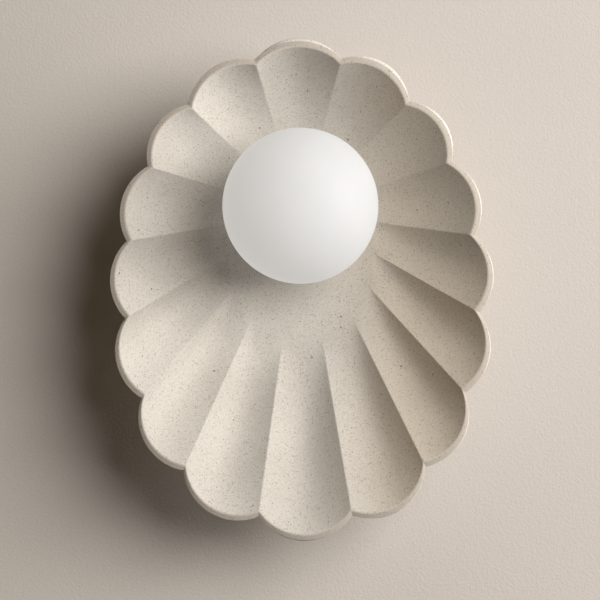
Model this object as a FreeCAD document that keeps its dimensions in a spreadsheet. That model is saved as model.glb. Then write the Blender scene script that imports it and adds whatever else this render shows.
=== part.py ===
import FreeCAD, Part
import Sketcher
import math
import os

# A wall light: a deep shell of pale speckled stoneware holds an opal glass globe.
# The origin is on the wall, where the lamp axis meets it. X is to the right, Z is up
# and the light stands out from the wall towards -Y. Sizes are in millimetres.
#
# Every piece is drawn as if the light lay on its back on a bench: X across, Y up the wall
# and Z out from the wall. One shared placement then stands all of them against the wall.

doc = FreeCAD.newDocument("ShellWallLight")
sheet = doc.addObject("Spreadsheet::Sheet", "Dims")
against_wall = FreeCAD.Placement(FreeCAD.Vector(0, 0, 0), FreeCAD.Rotation(FreeCAD.Vector(1, 0, 0), 90))

sizes = [
    # the shell, as its rim shows from the front
    ("rim_half_width", 114.5, "half the width of the curve through the outer notches"),
    ("rim_top_height", 150.1, "its height above its own centre"),
    ("rim_bottom_height", 152.3, "its height below its own centre"),
    ("rim_centre_drop", 50.8, "how far its centre lies below the lamp axis"),
    ("rim_lower_fullness", 2.2, "power of the fuller lower half, 2 is an ellipse"),
    ("ridge_angle_one", 16.5, "direction of each notch from straight up, in degrees"),
    ("ridge_angle_two", 47.0, "second pair of notches"),
    ("ridge_angle_three", 74.5, "third pair of notches"),
    ("ridge_angle_four", 100.5, "fourth pair of notches"),
    ("ridge_angle_five", 121.75, "fifth pair of notches"),
    ("ridge_angle_six", 139.5, "sixth pair of notches"),
    ("ridge_angle_seven", 155.25, "seventh pair of notches"),
    ("ridge_angle_eight", 171.4, "eighth pair of notches"),
    ("lobe_rise", 0.205, "rise of a lobe over its chord"),
    ("bottom_lobe_rise", 0.26, "the same for the lowest lobe"),
    # the shell, from the wall out
    ("floor_thickness", 9.0, "clay behind the flat floor"),
    ("bowl_depth", 58.0, "from the floor to the rim"),
    ("floor_share", 0.3, "flat floor as a share of the way to the rim"),
    ("bowl_curve", 1.7, "power of the bowl's rise, 1 is a cone"),
    ("flute_start", 0.46, "where the flutes begin, as a share of the way to the rim"),
    ("flute_growth", 0.65, "power of the lower flutes' growth"),
    ("flute_fullness", 0.9, "how much wider the lower flutes are scooped than the rim's own lobes"),
    ("ridge_lift", 4.0, "how far the lower ridges stand out from the bowl's curve, half-way up"),
    ("bowl_overrun", 0.03, "how far the bowl's cutting form runs on past the rim, as a share"),
    ("wall_fullness", 0.625, "how full the outer wall stays behind the lip"),
    ("lobe_swell", 1.4, "how far each lobe's wall swells out behind its lip"),
    ("top_lobe_swell", 1.6, "added to the swell towards the top lobe"),
    ("swell_share", 0.06, "lip to the swell's fullest line, as a share of the bowl's depth"),
    ("lip_width", 4.0, "from the inner edge to the outer edge of the rim"),
    ("wall_back_step", 5.0, "how far the back of the wall lies behind its front, and the lip's roll"),
    ("lip_flat", 2.6, "flat crest of the rim"),
    ("boss_radius", 48.0, "round seat on the back of the shell"),
    # the wall bracket
    ("bracket_radius", 44.0, "round plate"),
    ("bracket_plate", 2.0, "its thickness"),
    ("slot_reach", 30.0, "lamp axis to the middle of a screw slot"),
    ("slot_span", 12.0, "slot, end to end"),
    ("slot_width", 4.5, "slot, side to side"),
    ("cable_hole_drop", 24.0, "cable hole below the lamp axis"),
    ("cable_hole_radius", 6.5, "cable hole"),
    ("ear_width", 14.0, "bent ear that the canopy is screwed to"),
    ("ear_reach", 18.0, "wall to the end of the ear"),
    ("ear_hole_reach", 12.0, "wall to the canopy screw"),
    ("grommet_bore", 4.5, "radius of the cable's way in"),
    ("grommet_flange", 8.5, "radius of its flange"),
    ("grommet_lip", 1.5, "thickness of its flange"),
    # the canopy
    ("canopy_radius", 50.0, "round cover on the wall"),
    ("canopy_depth", 26.0, "wall to its front"),
    ("canopy_wall", 1.5, "its sheet"),
    ("canopy_corner", 5.0, "outer radius of its spun corner"),
    ("wall_gap", 0.5, "its skirt stops short of the wall"),
    ("pad_thickness", 1.0, "felt ring between canopy and shell"),
    ("pad_radius", 46.0, "felt ring"),
    # clearances
    ("slip", 0.05, "radial clearance of a shaft in its hole"),
    ("ease", 0.3, "loose clearance"),
    # screws
    ("canopy_screw_radius", 2.0, "side screw"),
    ("canopy_screw_length", 6.0, "grip inside the canopy"),
    ("canopy_screw_head", 3.6, "head radius"),
    ("canopy_screw_head_height", 2.2, "head"),
    ("driver_slot", 0.9, "width of a screwdriver slot"),
    # the hollow threaded nipple and what it clamps
    ("nipple_radius", 4.95, "hollow nipple"),
    ("nipple_wall", 1.3, "its wall"),
    ("nipple_proud", 1.5, "how far it stands out of each nut"),
    ("nut_thickness", 3.0, "nipple nut"),
    ("nut_flats", 14.0, "nipple nut across flats"),
    ("lock_washer_radius", 8.5, "washer under each nut"),
    ("lock_washer_sheet", 1.0, "its thickness"),
    ("bush_flange", 1.5, "plastic end bush, flange"),
    ("bush_radius", 5.6, "plastic end bush, flange radius"),
    ("bush_bore", 2.9, "plastic end bush, bore"),
    ("bush_sleeve", 4.0, "plastic end bush, sleeve inside the nipple"),
    ("hub_hole_radius", 6.0, "hole through the shell"),
    ("washer_radius", 16.0, "soft washer on the shell's floor"),
    ("washer_thickness", 1.0, "soft washer"),
    # the fitter that carries the globe
    ("fitter_radius", 26.0, "flange of the fitter"),
    ("fitter_sheet", 1.5, "its sheet"),
    ("collar_radius", 18.9, "threaded collar"),
    ("collar_length", 13.5, "its height above the flange"),
    ("thread_pitch", 4.0, "thread of the globe's neck"),
    ("thread_run", 6.0, "its length, one turn and a half"),
    ("thread_start", 4.5, "flange to the first turn's middle"),
    ("thread_height", 1.2, "ridge"),
    ("thread_root", 1.6, "ridge at its root"),
    ("thread_crest", 0.8, "ridge at its crest"),
    ("thread_sink", 0.2, "how far a ridge is rooted in its wall"),
    # the opal globe
    ("globe_radius", 50.0, "outer radius"),
    ("globe_wall", 3.0, "glass"),
    ("neck_length", 13.0, "neck, from its end to the ball"),
    ("neck_fillet", 2.5, "where the neck meets the ball"),
    ("seal_thickness", 2.0, "silicone ring under the neck"),
    ("seal_radius", 24.6, "its outer radius"),
    # the lampholder
    ("holder_sheet", 1.0, "strap that carries the lampholder"),
    ("holder_strap_width", 12.0, "strap"),
    ("holder_room", 10.0, "room for the wires behind the lampholder"),
    ("holder_radius", 9.5, "ceramic body"),
    ("holder_length", 20.0, "ceramic body"),
    ("holder_socket_depth", 11.0, "mouth for the bulb's base"),
    ("holder_screw_reach", 5.0, "back of the lampholder to its screws"),
    ("holder_screw_radius", 1.45, "screw"),
    ("holder_screw_grip", 2.4, "depth in the ceramic"),
    ("holder_screw_head", 2.7, "head radius"),
    ("holder_screw_head_height", 1.8, "head"),
    ("contact_depth", 6.4, "pocket of a contact"),
    ("contact_across", 3.0, "contact"),
    ("contact_up", 2.4, "contact"),
    ("wire_hole_radius", 1.2, "wire's way into the lampholder"),
    # the plug-in bulb
    ("pin_spacing", 9.0, "between the bulb's two pins"),
    ("pin_across", 2.4, "pin"),
    ("pin_up", 0.8, "pin"),
    ("pin_reach", 6.0, "how far a pin stands out of the base"),
    ("base_across", 12.4, "flat tongue of the bulb's base"),
    ("base_up", 5.9, "flat tongue of the bulb's base"),
    ("base_collar_radius", 8.0, "round collar of the bulb's base"),
    ("base_collar_length", 9.0, "round collar of the bulb's base"),
    ("cover_length", 35.0, "bulb's cover"),
    ("cover_corner", 6.0, "outer radius of its end"),
    ("cover_wall", 1.0, "its wall"),
    ("core_across", 11.0, "board with the light sources"),
    ("core_up", 1.6, "board"),
    ("core_length", 28.0, "board"),
    ("chip_size", 2.6, "one light source"),
    ("chip_height", 0.8, "one light source"),
    ("chip_step", 3.4, "from one light source to the next"),
    # the terminal block
    ("block_rise", 24.0, "its middle above the lamp axis"),
    ("block_across", 21.0, "its width"),
    ("block_up", 16.0, "its height on the wall"),
    ("block_thickness", 12.0, "how far it stands out"),
    ("pole_spacing", 12.0, "between its two poles"),
    ("pole_reach", 6.0, "bracket plate to the middle of a pole"),
    ("tube_radius", 2.1, "brass tube of a pole"),
    ("tube_bore", 1.3, "its bore"),
    ("tube_length", 13.0, "brass tube of a pole"),
    ("clamp_spacing", 7.0, "between a pole's two clamp screws"),
    ("clamp_radius", 1.2, "clamp screw"),
    ("clamp_length", 4.6, "clamp screw"),
    ("fixing_radius", 1.45, "screw that holds the block"),
    ("fixing_head", 2.6, "its head radius"),
    ("fixing_head_height", 1.8, "its head"),
    # wires
    ("wire_radius", 0.9, "insulated wire"),
    ("wire_offset", 1.35, "nipple's middle to a wire's middle"),
    # the earth connection
    ("stud_across", 20.0, "earth stud, right of the lamp axis"),
    ("stud_drop", 18.0, "earth stud, below the lamp axis"),
    ("stud_radius", 1.95, "earth stud"),
    ("stud_reach", 10.0, "wall to its end"),
    ("earth_nut_flats", 7.0, "nut across flats"),
    ("earth_nut_thickness", 3.2, "nut"),
    ("tag_sheet", 0.8, "ring terminal"),
    ("tag_ring", 4.0, "ring terminal's outer radius"),
    ("barrel_radius", 1.6, "crimped barrel"),
    ("barrel_length", 5.0, "crimped barrel"),
    ("hub_tag_reach", 12.0, "lamp axis to the barrel of the nipple's tag"),
]

for row, (alias, size, note) in enumerate(sizes, 1):
    sheet.set(f"A{row}", alias)
    sheet.set(f"B{row}", str(size))
    sheet.setAlias(f"B{row}", alias)
    sheet.set(f"C{row}", note)
doc.recompute()

# Stations along the lamp axis, as distances from the wall
canopy_inside = "(Dims.canopy_depth - Dims.canopy_wall)"
shell_back = "(Dims.canopy_depth + Dims.pad_thickness)"
shell_floor = f"({shell_back} + Dims.floor_thickness)"
shell_rim = f"({shell_floor} + Dims.bowl_depth)"
fitter_back = f"({shell_floor} + Dims.washer_thickness)"
fitter_front = f"({fitter_back} + Dims.fitter_sheet)"
strap_front = f"({fitter_front} + Dims.holder_sheet)"
front_nut_back = f"({strap_front} + Dims.lock_washer_sheet)"
front_nut_front = f"({front_nut_back} + Dims.nut_thickness)"
nipple_front = f"({front_nut_front} + Dims.nipple_proud)"
front_bush_end = f"({nipple_front} + Dims.bush_flange)"
holder_back = f"({front_bush_end} + Dims.holder_room)"
holder_front = f"({holder_back} + Dims.holder_length)"
tag_back = f"({canopy_inside} - Dims.tag_sheet)"
rear_washer_back = f"({tag_back} - Dims.lock_washer_sheet)"
rear_nut_back = f"({rear_washer_back} - Dims.nut_thickness)"
nipple_back = f"({rear_nut_back} - Dims.nipple_proud)"
rear_bush_end = f"({nipple_back} - Dims.bush_flange)"
neck_end = f"({fitter_front} + Dims.seal_thickness)"

# Radii and places shared by pieces that fit each other
canopy_bore = "(Dims.canopy_radius - Dims.canopy_wall)"
ear_half_width = "(Dims.ear_width / 2)"
ear_outside = f"(sqrt(({canopy_bore} - Dims.ease)^2 - {ear_half_width}^2))"
nipple_hole = "(Dims.nipple_radius + Dims.slip)"
nipple_bore = "(Dims.nipple_radius - Dims.nipple_wall)"
neck_bore = "(Dims.collar_radius + Dims.thread_height + Dims.ease)"
neck_radius = f"({neck_bore} + Dims.globe_wall)"
globe_centre = f"({neck_end} + Dims.neck_length + sqrt(Dims.globe_radius^2 - {neck_radius}^2))"
collar_bore = "(Dims.collar_radius - Dims.fitter_sheet)"
strap_inside = "(Dims.holder_radius + Dims.ease)"
strap_outside = f"({strap_inside} + Dims.holder_sheet)"
holder_screw_out = f"({holder_back} + Dims.holder_screw_reach)"
socket_floor = f"({holder_front} - Dims.holder_socket_depth)"
contact_floor = f"({socket_floor} - Dims.contact_depth)"
pin_across_at = "(Dims.pin_spacing / 2)"
tongue_back = f"({socket_floor} + Dims.ease)"
collar_back = f"({holder_front} + Dims.ease)"
cover_back = f"({collar_back} + Dims.base_collar_length)"
block_front = "(Dims.bracket_plate + Dims.block_thickness)"
pole_out = "(Dims.bracket_plate + Dims.pole_reach)"
pole_across_at = "(Dims.pole_spacing / 2)"
tube_bottom = "(Dims.block_rise - Dims.tube_length / 2)"
stud_hole = "(Dims.stud_radius + Dims.slip)"


def value(formula):
    """The number that a formula of sheet cells gives."""
    return float(sheet.evalExpression(formula))


def spot(across, up, out):
    """A point in the bench position, from three formulas."""
    return FreeCAD.Vector(value(across), value(up), value(out))


def new_body(label):
    """An empty body for one sub-part, already stood against the wall."""
    body = doc.addObject("PartDesign::Body", label)
    body.Label = label
    body.AllowCompound = True
    body.Placement = against_wall
    return body


def origin_feature(body, role):
    return next(feature for feature in body.Origin.OriginFeatures if feature.Role == role)


def new_sketch(body, name, role="XY_Plane", offset="0"):
    """A sketch on one of the body's own planes, moved along that plane's normal."""
    sketch = body.newObject("Sketcher::SketchObject", name)
    sketch.AttachmentSupport = [(origin_feature(body, role), "")]
    sketch.MapMode = "FlatFace"
    sketch.setExpression("AttachmentOffset.Base.z", offset)
    return sketch


def bind(sketch, kind, where, formula):
    """A constraint whose size is a formula of sheet cells."""
    index = sketch.addConstraint(Sketcher.Constraint(kind, *where, value(formula)))
    sketch.setExpression(f"Constraints[{index}]", formula)


def fix_point(sketch, geometry, end, across, up):
    bind(sketch, "DistanceX", (-1, 1, geometry, end), across)
    bind(sketch, "DistanceY", (-1, 1, geometry, end), up)


def draw_circle(sketch, radius, across="0", up="0"):
    middle = FreeCAD.Vector(value(across), value(up), 0)
    index = sketch.addGeometry(Part.Circle(middle, FreeCAD.Vector(0, 0, 1), value(radius)))
    bind(sketch, "Radius", (index,), radius)
    fix_point(sketch, index, 3, across, up)


def draw_outline(sketch, corners):
    """A closed outline of straight lines; each corner is a pair of formulas."""
    spots = [FreeCAD.Vector(value(across), value(up), 0) for across, up in corners]
    first = sketch.GeometryCount
    for start, end in zip(spots, spots[1:] + spots[:1]):
        sketch.addGeometry(Part.LineSegment(start, end))
    for number, (across, up) in enumerate(corners):
        before = first + (number - 1) % len(corners)
        sketch.addConstraint(Sketcher.Constraint("Coincident", before, 2, first + number, 1))
        fix_point(sketch, first + number, 1, across, up)


def draw_box(sketch, left, right, low, high):
    draw_outline(sketch, [(left, low), (right, low), (right, high), (left, high)])


def draw_hexagon(sketch, flats, across="0", up="0"):
    """A hexagon of a given size across its flats, with two corners level with its middle."""
    corners = []
    for number in range(6):
        turn = f"{60 * number} deg"
        reach = f"{flats} / 2 / cos(30 deg)"
        corners.append((f"{across} + {reach} * cos({turn})", f"{up} + {reach} * sin({turn})"))
    draw_outline(sketch, corners)


def draw_slot(sketch, middle, span, width):
    """A round-ended slot along X, level with the sketch's origin."""
    half = value(f"{width} / 2")
    left = value(f"{middle} - {span} / 2 + {width} / 2")
    right = value(f"{middle} + {span} / 2 - {width} / 2")
    normal = FreeCAD.Vector(0, 0, 1)
    quarter = math.pi / 2
    first = sketch.GeometryCount
    top, left_end, bottom, right_end = range(first, first + 4)
    left_circle = Part.Circle(FreeCAD.Vector(left, 0, 0), normal, half)
    right_circle = Part.Circle(FreeCAD.Vector(right, 0, 0), normal, half)
    sketch.addGeometry(Part.LineSegment(FreeCAD.Vector(right, half, 0), FreeCAD.Vector(left, half, 0)))
    sketch.addGeometry(Part.ArcOfCircle(left_circle, quarter, 3 * quarter))
    sketch.addGeometry(Part.LineSegment(FreeCAD.Vector(left, -half, 0), FreeCAD.Vector(right, -half, 0)))
    sketch.addGeometry(Part.ArcOfCircle(right_circle, -quarter, quarter))
    sketch.addConstraint(Sketcher.Constraint("Tangent", top, 2, left_end, 1))
    sketch.addConstraint(Sketcher.Constraint("Tangent", left_end, 2, bottom, 1))
    sketch.addConstraint(Sketcher.Constraint("Tangent", bottom, 2, right_end, 1))
    sketch.addConstraint(Sketcher.Constraint("Tangent", right_end, 2, top, 1))
    bind(sketch, "Radius", (left_end,), f"{width} / 2")
    fix_point(sketch, left_end, 3, f"{middle} - {span} / 2 + {width} / 2", "0")
    fix_point(sketch, right_end, 3, f"{middle} + {span} / 2 - {width} / 2", "0")


def add_pad(body, sketch, name, length):
    pad = body.newObject("PartDesign::Pad", name)
    pad.Profile = sketch
    pad.setExpression("Length", length)
    doc.recompute()
    return pad


def add_cut(body, sketch, name, length):
    """A pocket along the sketch's own normal, checked to have taken something away."""
    before = body.Shape.Volume
    pocket = body.newObject("PartDesign::Pocket", name)
    pocket.Profile = sketch
    pocket.Reversed = True
    pocket.setExpression("Length", length)
    doc.recompute()
    if body.Shape.Volume >= before:
        raise ValueError(f"{name} cuts nothing")
    return pocket


def add_turning(body, sketch, name):
    """The sketch turned a full turn about its vertical axis."""
    turning = body.newObject("PartDesign::Revolution", name)
    turning.Profile = sketch
    turning.ReferenceAxis = (sketch, ["V_Axis"])
    turning.Angle = 360
    doc.recompute()
    return turning


def add_mirror(body, features, role="YZ_Plane"):
    """The same features again on the other side of one of the body's planes."""
    mirror = body.newObject("PartDesign::Mirrored", "OtherSide")
    mirror.Originals = features
    mirror.MirrorPlane = (origin_feature(body, role), [""])
    body.Tip = mirror
    doc.recompute()
    return mirror


def add_fillet(body, base, radius, wanted):
    """Rounds the edges of the base that the test picks."""
    names = [f"Edge{number}" for number, edge in enumerate(base.Shape.Edges, 1) if wanted(edge)]
    fillet = body.newObject("PartDesign::Fillet", "Rounding")
    fillet.Base = (base, names)
    fillet.setExpression("Radius", radius)
    doc.recompute()
    return fillet


def is_ring(edge, radius, out):
    """True for a full circle about the lamp axis at a given distance from the wall."""
    box = edge.BoundBox
    near = 1e-3
    flat = abs(box.ZMin - value(out)) < near and abs(box.ZMax - value(out)) < near
    return flat and edge.Curve.TypeId == "Part::GeomCircle" and abs(edge.Curve.Radius - value(radius)) < near


def add_ring(body, name, outer, inner, out, thickness):
    """A flat ring or tube about the lamp axis."""
    sketch = new_sketch(body, f"{name}Sketch", offset=out)
    draw_circle(sketch, outer)
    draw_circle(sketch, inner)
    return add_pad(body, sketch, name, thickness)


def add_cup(body, radius, wall, corner, mouth, end):
    """A round cup with its mouth towards the wall, turned from a section of even thickness."""
    sketch = new_sketch(body, "CupSketch", role="XZ_Plane")
    turn_across = f"({radius} - {corner})"
    turn_out = f"({end} - {corner})"
    centre = FreeCAD.Vector(value(turn_across), value(turn_out), 0)
    normal = FreeCAD.Vector(0, 0, 1)
    walls = ((radius, end, corner), (f"({radius} - {wall})", f"({end} - {wall})", f"({corner} - {wall})"))
    lines = []
    for side, face, bend in walls:
        first = sketch.GeometryCount
        across = value(side)
        out = value(face)
        sketch.addGeometry([
            Part.LineSegment(FreeCAD.Vector(0, out, 0), FreeCAD.Vector(centre.x, out, 0)),
            Part.ArcOfCircle(Part.Circle(centre, normal, value(bend)), 0, math.pi / 2),
            Part.LineSegment(FreeCAD.Vector(across, centre.y, 0), FreeCAD.Vector(across, value(mouth), 0)),
        ])
        flat, arc, skirt = range(first, first + 3)
        sketch.addConstraint(Sketcher.Constraint("Coincident", flat, 2, arc, 2))
        sketch.addConstraint(Sketcher.Constraint("Coincident", arc, 1, skirt, 1))
        fix_point(sketch, flat, 1, "0", face)
        fix_point(sketch, skirt, 2, side, mouth)
        fix_point(sketch, arc, 3, turn_across, turn_out)
        bind(sketch, "Radius", (arc,), bend)
        bind(sketch, "DistanceX", (-1, 1, arc, 2), turn_across)
        bind(sketch, "DistanceY", (-1, 1, arc, 1), turn_out)
        lines.append((flat, skirt))
    for end_number, (outer_line, inner_line) in zip((1, 2), zip(*lines)):
        outer_end = sketch.getPoint(outer_line, end_number)
        inner_end = sketch.getPoint(inner_line, end_number)
        closing = sketch.addGeometry(Part.LineSegment(outer_end, inner_end))
        sketch.addConstraint(Sketcher.Constraint("Coincident", outer_line, end_number, closing, 1))
        sketch.addConstraint(Sketcher.Constraint("Coincident", inner_line, end_number, closing, 2))
    add_turning(body, sketch, "Cup")


def add_thread(body, name, wall, tip, middle):
    """A helical ridge on a wall; its tip is at another radius, inside or outside the wall."""
    sketch = new_sketch(body, f"{name}Sketch", role="XZ_Plane")
    draw_outline(sketch, [
        (wall, f"{middle} - Dims.thread_root / 2"),
        (tip, f"{middle} - Dims.thread_crest / 2"),
        (tip, f"{middle} + Dims.thread_crest / 2"),
        (wall, f"{middle} + Dims.thread_root / 2"),
    ])
    doc.recompute()
    helix = body.newObject("PartDesign::AdditiveHelix", name)
    helix.Profile = sketch
    helix.ReferenceAxis = (sketch, ["V_Axis"])
    helix.Mode = "pitch-height-angle"
    helix.setExpression("Pitch", "Dims.thread_pitch")
    helix.setExpression("Height", "Dims.thread_run")
    body.Tip = helix
    doc.recompute()
    return helix


# --- fixed to the wall ---

def make_wall_bracket():
    body = new_body("wall_bracket")
    plate = new_sketch(body, "PlateSketch")
    draw_circle(plate, "Dims.bracket_radius")
    add_pad(body, plate, "Plate", "Dims.bracket_plate")
    tabs = new_sketch(body, "TabSketch")
    draw_box(tabs, f"-{ear_outside}", ear_outside, f"-{ear_half_width}", ear_half_width)
    add_pad(body, tabs, "Tabs", "Dims.bracket_plate")
    ears = new_sketch(body, "EarSketch")
    for side in ("", "-"):
        inside = f"{side}({ear_outside} - Dims.bracket_plate)"
        draw_box(ears, inside, f"{side}{ear_outside}", f"-{ear_half_width}", ear_half_width)
    add_pad(body, ears, "Ears", "Dims.ear_reach")
    slots = new_sketch(body, "SlotSketch")
    draw_slot(slots, "Dims.slot_reach", "Dims.slot_span", "Dims.slot_width")
    draw_slot(slots, "-Dims.slot_reach", "Dims.slot_span", "Dims.slot_width")
    add_cut(body, slots, "Slots", "Dims.bracket_plate")
    holes = new_sketch(body, "PlateHoleSketch")
    draw_circle(holes, "Dims.cable_hole_radius", up="-Dims.cable_hole_drop")
    draw_circle(holes, "Dims.fixing_radius + Dims.slip", up="Dims.block_rise")
    draw_circle(holes, stud_hole, across="Dims.stud_across", up="-Dims.stud_drop")
    add_cut(body, holes, "PlateHoles", "Dims.bracket_plate")
    threads = new_sketch(body, "EarHoleSketch", role="YZ_Plane", offset=f"-{ear_outside}")
    draw_circle(threads, "Dims.canopy_screw_radius + Dims.slip", up="Dims.ear_hole_reach")
    add_cut(body, threads, "EarHoles", f"2 * {ear_outside}")


def make_cable_grommet():
    """A one-sided grommet, flush with the wall, that lines the cable hole."""
    body = new_body("cable_grommet")
    sleeve = new_sketch(body, "SleeveSketch")
    draw_circle(sleeve, "Dims.cable_hole_radius - Dims.slip", up="-Dims.cable_hole_drop")
    add_pad(body, sleeve, "Sleeve", "Dims.bracket_plate")
    flange = new_sketch(body, "FlangeSketch", offset="Dims.bracket_plate")
    draw_circle(flange, "Dims.grommet_flange", up="-Dims.cable_hole_drop")
    add_pad(body, flange, "Flange", "Dims.grommet_lip")
    bore = new_sketch(body, "BoreSketch")
    draw_circle(bore, "Dims.grommet_bore", up="-Dims.cable_hole_drop")
    add_cut(body, bore, "Bore", "Dims.bracket_plate + Dims.grommet_lip")


def make_canopy():
    body = new_body("canopy")
    add_cup(body, "Dims.canopy_radius", "Dims.canopy_wall", "Dims.canopy_corner",
            "Dims.wall_gap", "Dims.canopy_depth")
    hub = new_sketch(body, "HubHoleSketch", offset="Dims.wall_gap")
    draw_circle(hub, nipple_hole)
    add_cut(body, hub, "HubHole", "Dims.canopy_depth")
    sides = new_sketch(body, "SideHoleSketch", role="YZ_Plane", offset="-Dims.canopy_radius")
    draw_circle(sides, "Dims.canopy_screw_radius + Dims.slip", up="Dims.ear_hole_reach")
    add_cut(body, sides, "SideHoles", "2 * Dims.canopy_radius")


def make_canopy_screws():
    """Two slotted screws through the canopy's skirt into the bracket's ears."""
    body = new_body("canopy_screws")
    tip = "Dims.canopy_radius - Dims.canopy_screw_length"
    shank = new_sketch(body, "ShankSketch", role="YZ_Plane", offset=tip)
    draw_circle(shank, "Dims.canopy_screw_radius", up="Dims.ear_hole_reach")
    shank_pad = add_pad(body, shank, "Shank", "Dims.canopy_screw_length")
    head = new_sketch(body, "HeadSketch", role="YZ_Plane", offset="Dims.canopy_radius")
    draw_circle(head, "Dims.canopy_screw_head", up="Dims.ear_hole_reach")
    head_pad = add_pad(body, head, "Head", "Dims.canopy_screw_head_height")
    middle = "Dims.canopy_radius + Dims.canopy_screw_head_height / 2"
    slot = new_sketch(body, "DriverSketch", role="YZ_Plane", offset=middle)
    draw_box(slot, "-Dims.canopy_screw_head", "Dims.canopy_screw_head",
             "Dims.ear_hole_reach - Dims.driver_slot / 2", "Dims.ear_hole_reach + Dims.driver_slot / 2")
    slot_cut = add_cut(body, slot, "DriverSlot", "Dims.canopy_screw_head_height")
    add_mirror(body, [shank_pad, head_pad, slot_cut])


def make_canopy_pad():
    body = new_body("canopy_pad")
    add_ring(body, "Ring", "Dims.pad_radius", "Dims.hub_hole_radius",
             "Dims.canopy_depth", "Dims.pad_thickness")


# --- the shell ---

def rim_reach(angle):
    """Distance from the lamp axis to the curve through the notches, at an angle from straight up.

    The curve is abs(x / a)^n + abs(y / b)^n = 1 about its own centre. Its upper half is an
    ellipse (n = 2) and its lower half is a little fuller. The distance is found by halving.
    """
    near = 0.0
    far = value("Dims.rim_half_width + Dims.rim_top_height + Dims.rim_bottom_height")
    for step in range(60):
        reach = (near + far) / 2
        across = reach * math.sin(angle) / value("Dims.rim_half_width")
        rise = reach * math.cos(angle) + value("Dims.rim_centre_drop")
        upper = rise > 0
        up = rise / value("Dims.rim_top_height" if upper else "Dims.rim_bottom_height")
        power = 2.0 if upper else value("Dims.rim_lower_fullness")
        if abs(across) ** power + abs(up) ** power < 1:
            near = reach
        else:
            far = reach
    return near


def ridge_angles():
    """The sixteen notch directions, clockwise from the first right of the top."""
    words = ("one", "two", "three", "four", "five", "six", "seven", "eight")
    right = [math.radians(value(f"Dims.ridge_angle_{word}")) for word in words]
    left = [2 * math.pi - angle for angle in reversed(right)]
    return right + left


def shell_lobes():
    """For each lobe: direction and reach of its first notch; direction, smooth reach and peak reach of its
    middle, and how far it faces up (1 is straight up, -1 straight down). The peak stands on the middle
    of the chord, at a share of the chord's length."""
    lobes = []
    angles = ridge_angles()
    for first, second in zip(angles, angles[1:] + [angles[0] + 2 * math.pi]):
        start = rim_reach(first) * FreeCAD.Vector(math.sin(first), math.cos(first), 0)
        end = rim_reach(second) * FreeCAD.Vector(math.sin(second), math.cos(second), 0)
        chord = end - start
        outward = FreeCAD.Vector(-chord.y, chord.x, 0)
        upness = math.cos((first + second) / 2)
        fuller = value("Dims.bottom_lobe_rise - Dims.lobe_rise") * max(0.0, -upness) ** 4
        rise = value("Dims.lobe_rise") + fuller
        peak = (start + end) / 2 + outward * rise
        direction = math.atan2(peak.x, peak.y)
        lobes.append((first, start.Length, direction, rim_reach(direction), peak.Length, upness))
    return lobes


def along_flute(share):
    """0 where the flutes begin and 1 at the rim."""
    start = value("Dims.flute_start")
    return max(0.0, (share - start) / (1 - start))


def lowness(upness):
    """0 for a lobe that faces straight up and 1 for one that faces straight down."""
    return ((1 - upness) / 2) ** 2


def flute_bulge(along, low):
    """How far a lobe has bulged along its flute, from 0 at its start to 1 at the rim.

    Upper flutes grow evenly, as x. Lower ones are scooped wider, as sin(90 degrees x^q) (1 + f (1 - x)).
    """
    scoop = math.sin(math.pi / 2 * min(1.0, along) ** value("Dims.flute_growth"))
    scoop *= 1 + value("Dims.flute_fullness") * max(0.0, 1 - along)
    return (1 - low) * along + low * scoop


def level_point(angle, reach, out):
    """The point at a direction and distance from the lamp axis, on the level out from the wall."""
    return FreeCAD.Vector(reach * math.sin(angle), reach * math.cos(angle), out)


def shell_contour(lobes, share, expand, out, swell=0.0, lift=0.0):
    """The shell's outline at one level, as sixteen arcs from notch to notch.

    share is the way to the rim (1 at the rim), expand grows the outline along the ridges' directions,
    out is the level's distance from the wall and swell, from 0 to 1, adds each lobe's own swelling.
    lift is how far the lowest ridges stand out from the level; a higher ridge has less of it.
    """
    along = along_flute(share)
    notches = []
    peaks = []
    before = lobes[-1][-1]
    for notch_angle, notch_reach, peak_angle, smooth_reach, peak_reach, upness in lobes:
        notch = notch_reach * share + expand
        notch_out = out + lift * (lowness(before) + lowness(upness)) / 2
        before = upness
        bulge = (peak_reach - smooth_reach) * flute_bulge(along, lowness(upness))
        swelling = value("Dims.lobe_swell") + value("Dims.top_lobe_swell") * max(0.0, upness)
        peak = smooth_reach * share + bulge + expand + swelling * swell
        notches.append(level_point(notch_angle, notch, notch_out))
        peaks.append(level_point(peak_angle, peak, out))
    arcs = []
    for number, peak in enumerate(peaks):
        following = notches[(number + 1) % len(notches)]
        arcs.append(Part.Arc(notches[number], peak, following).toShape())
    return Part.Wire(arcs)


def bowl_contour(lobes, step):
    """The bowl at a step u from the floor to the rim: share = a + (1 - a) u, height = depth u^p.

    Ridges stand out by sin(180 degrees x), where x runs along the flutes.
    """
    share = value("Dims.floor_share") + value("1 - Dims.floor_share") * step
    height = value("Dims.bowl_depth") * step ** value("Dims.bowl_curve")
    lift = value("Dims.ridge_lift") * math.sin(math.pi * min(1.0, along_flute(share)))
    return shell_contour(lobes, share, -value("Dims.lip_width"), value(shell_floor) + height, lift=lift)


def wall_contour(lobes, level):
    """The outer wall at a level v, a share of the bowl's depth.

    It follows the bowl's curve, fuller behind the lip by c v^6 (1 - v). Its lobes swell by t exp(1 - t),
    where t = (1 - v) / band.
    """
    rise = level ** (1 / value("Dims.bowl_curve")) + value("Dims.wall_fullness") * level ** 6 * (1 - level)
    share = value("Dims.floor_share") + value("1 - Dims.floor_share") * rise
    below = (1 - level) / value("Dims.swell_share")
    out = value(shell_floor) + value("Dims.bowl_depth") * level - value("Dims.wall_back_step")
    return shell_contour(lobes, share, 0, out, below * math.exp(1 - below))


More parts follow.
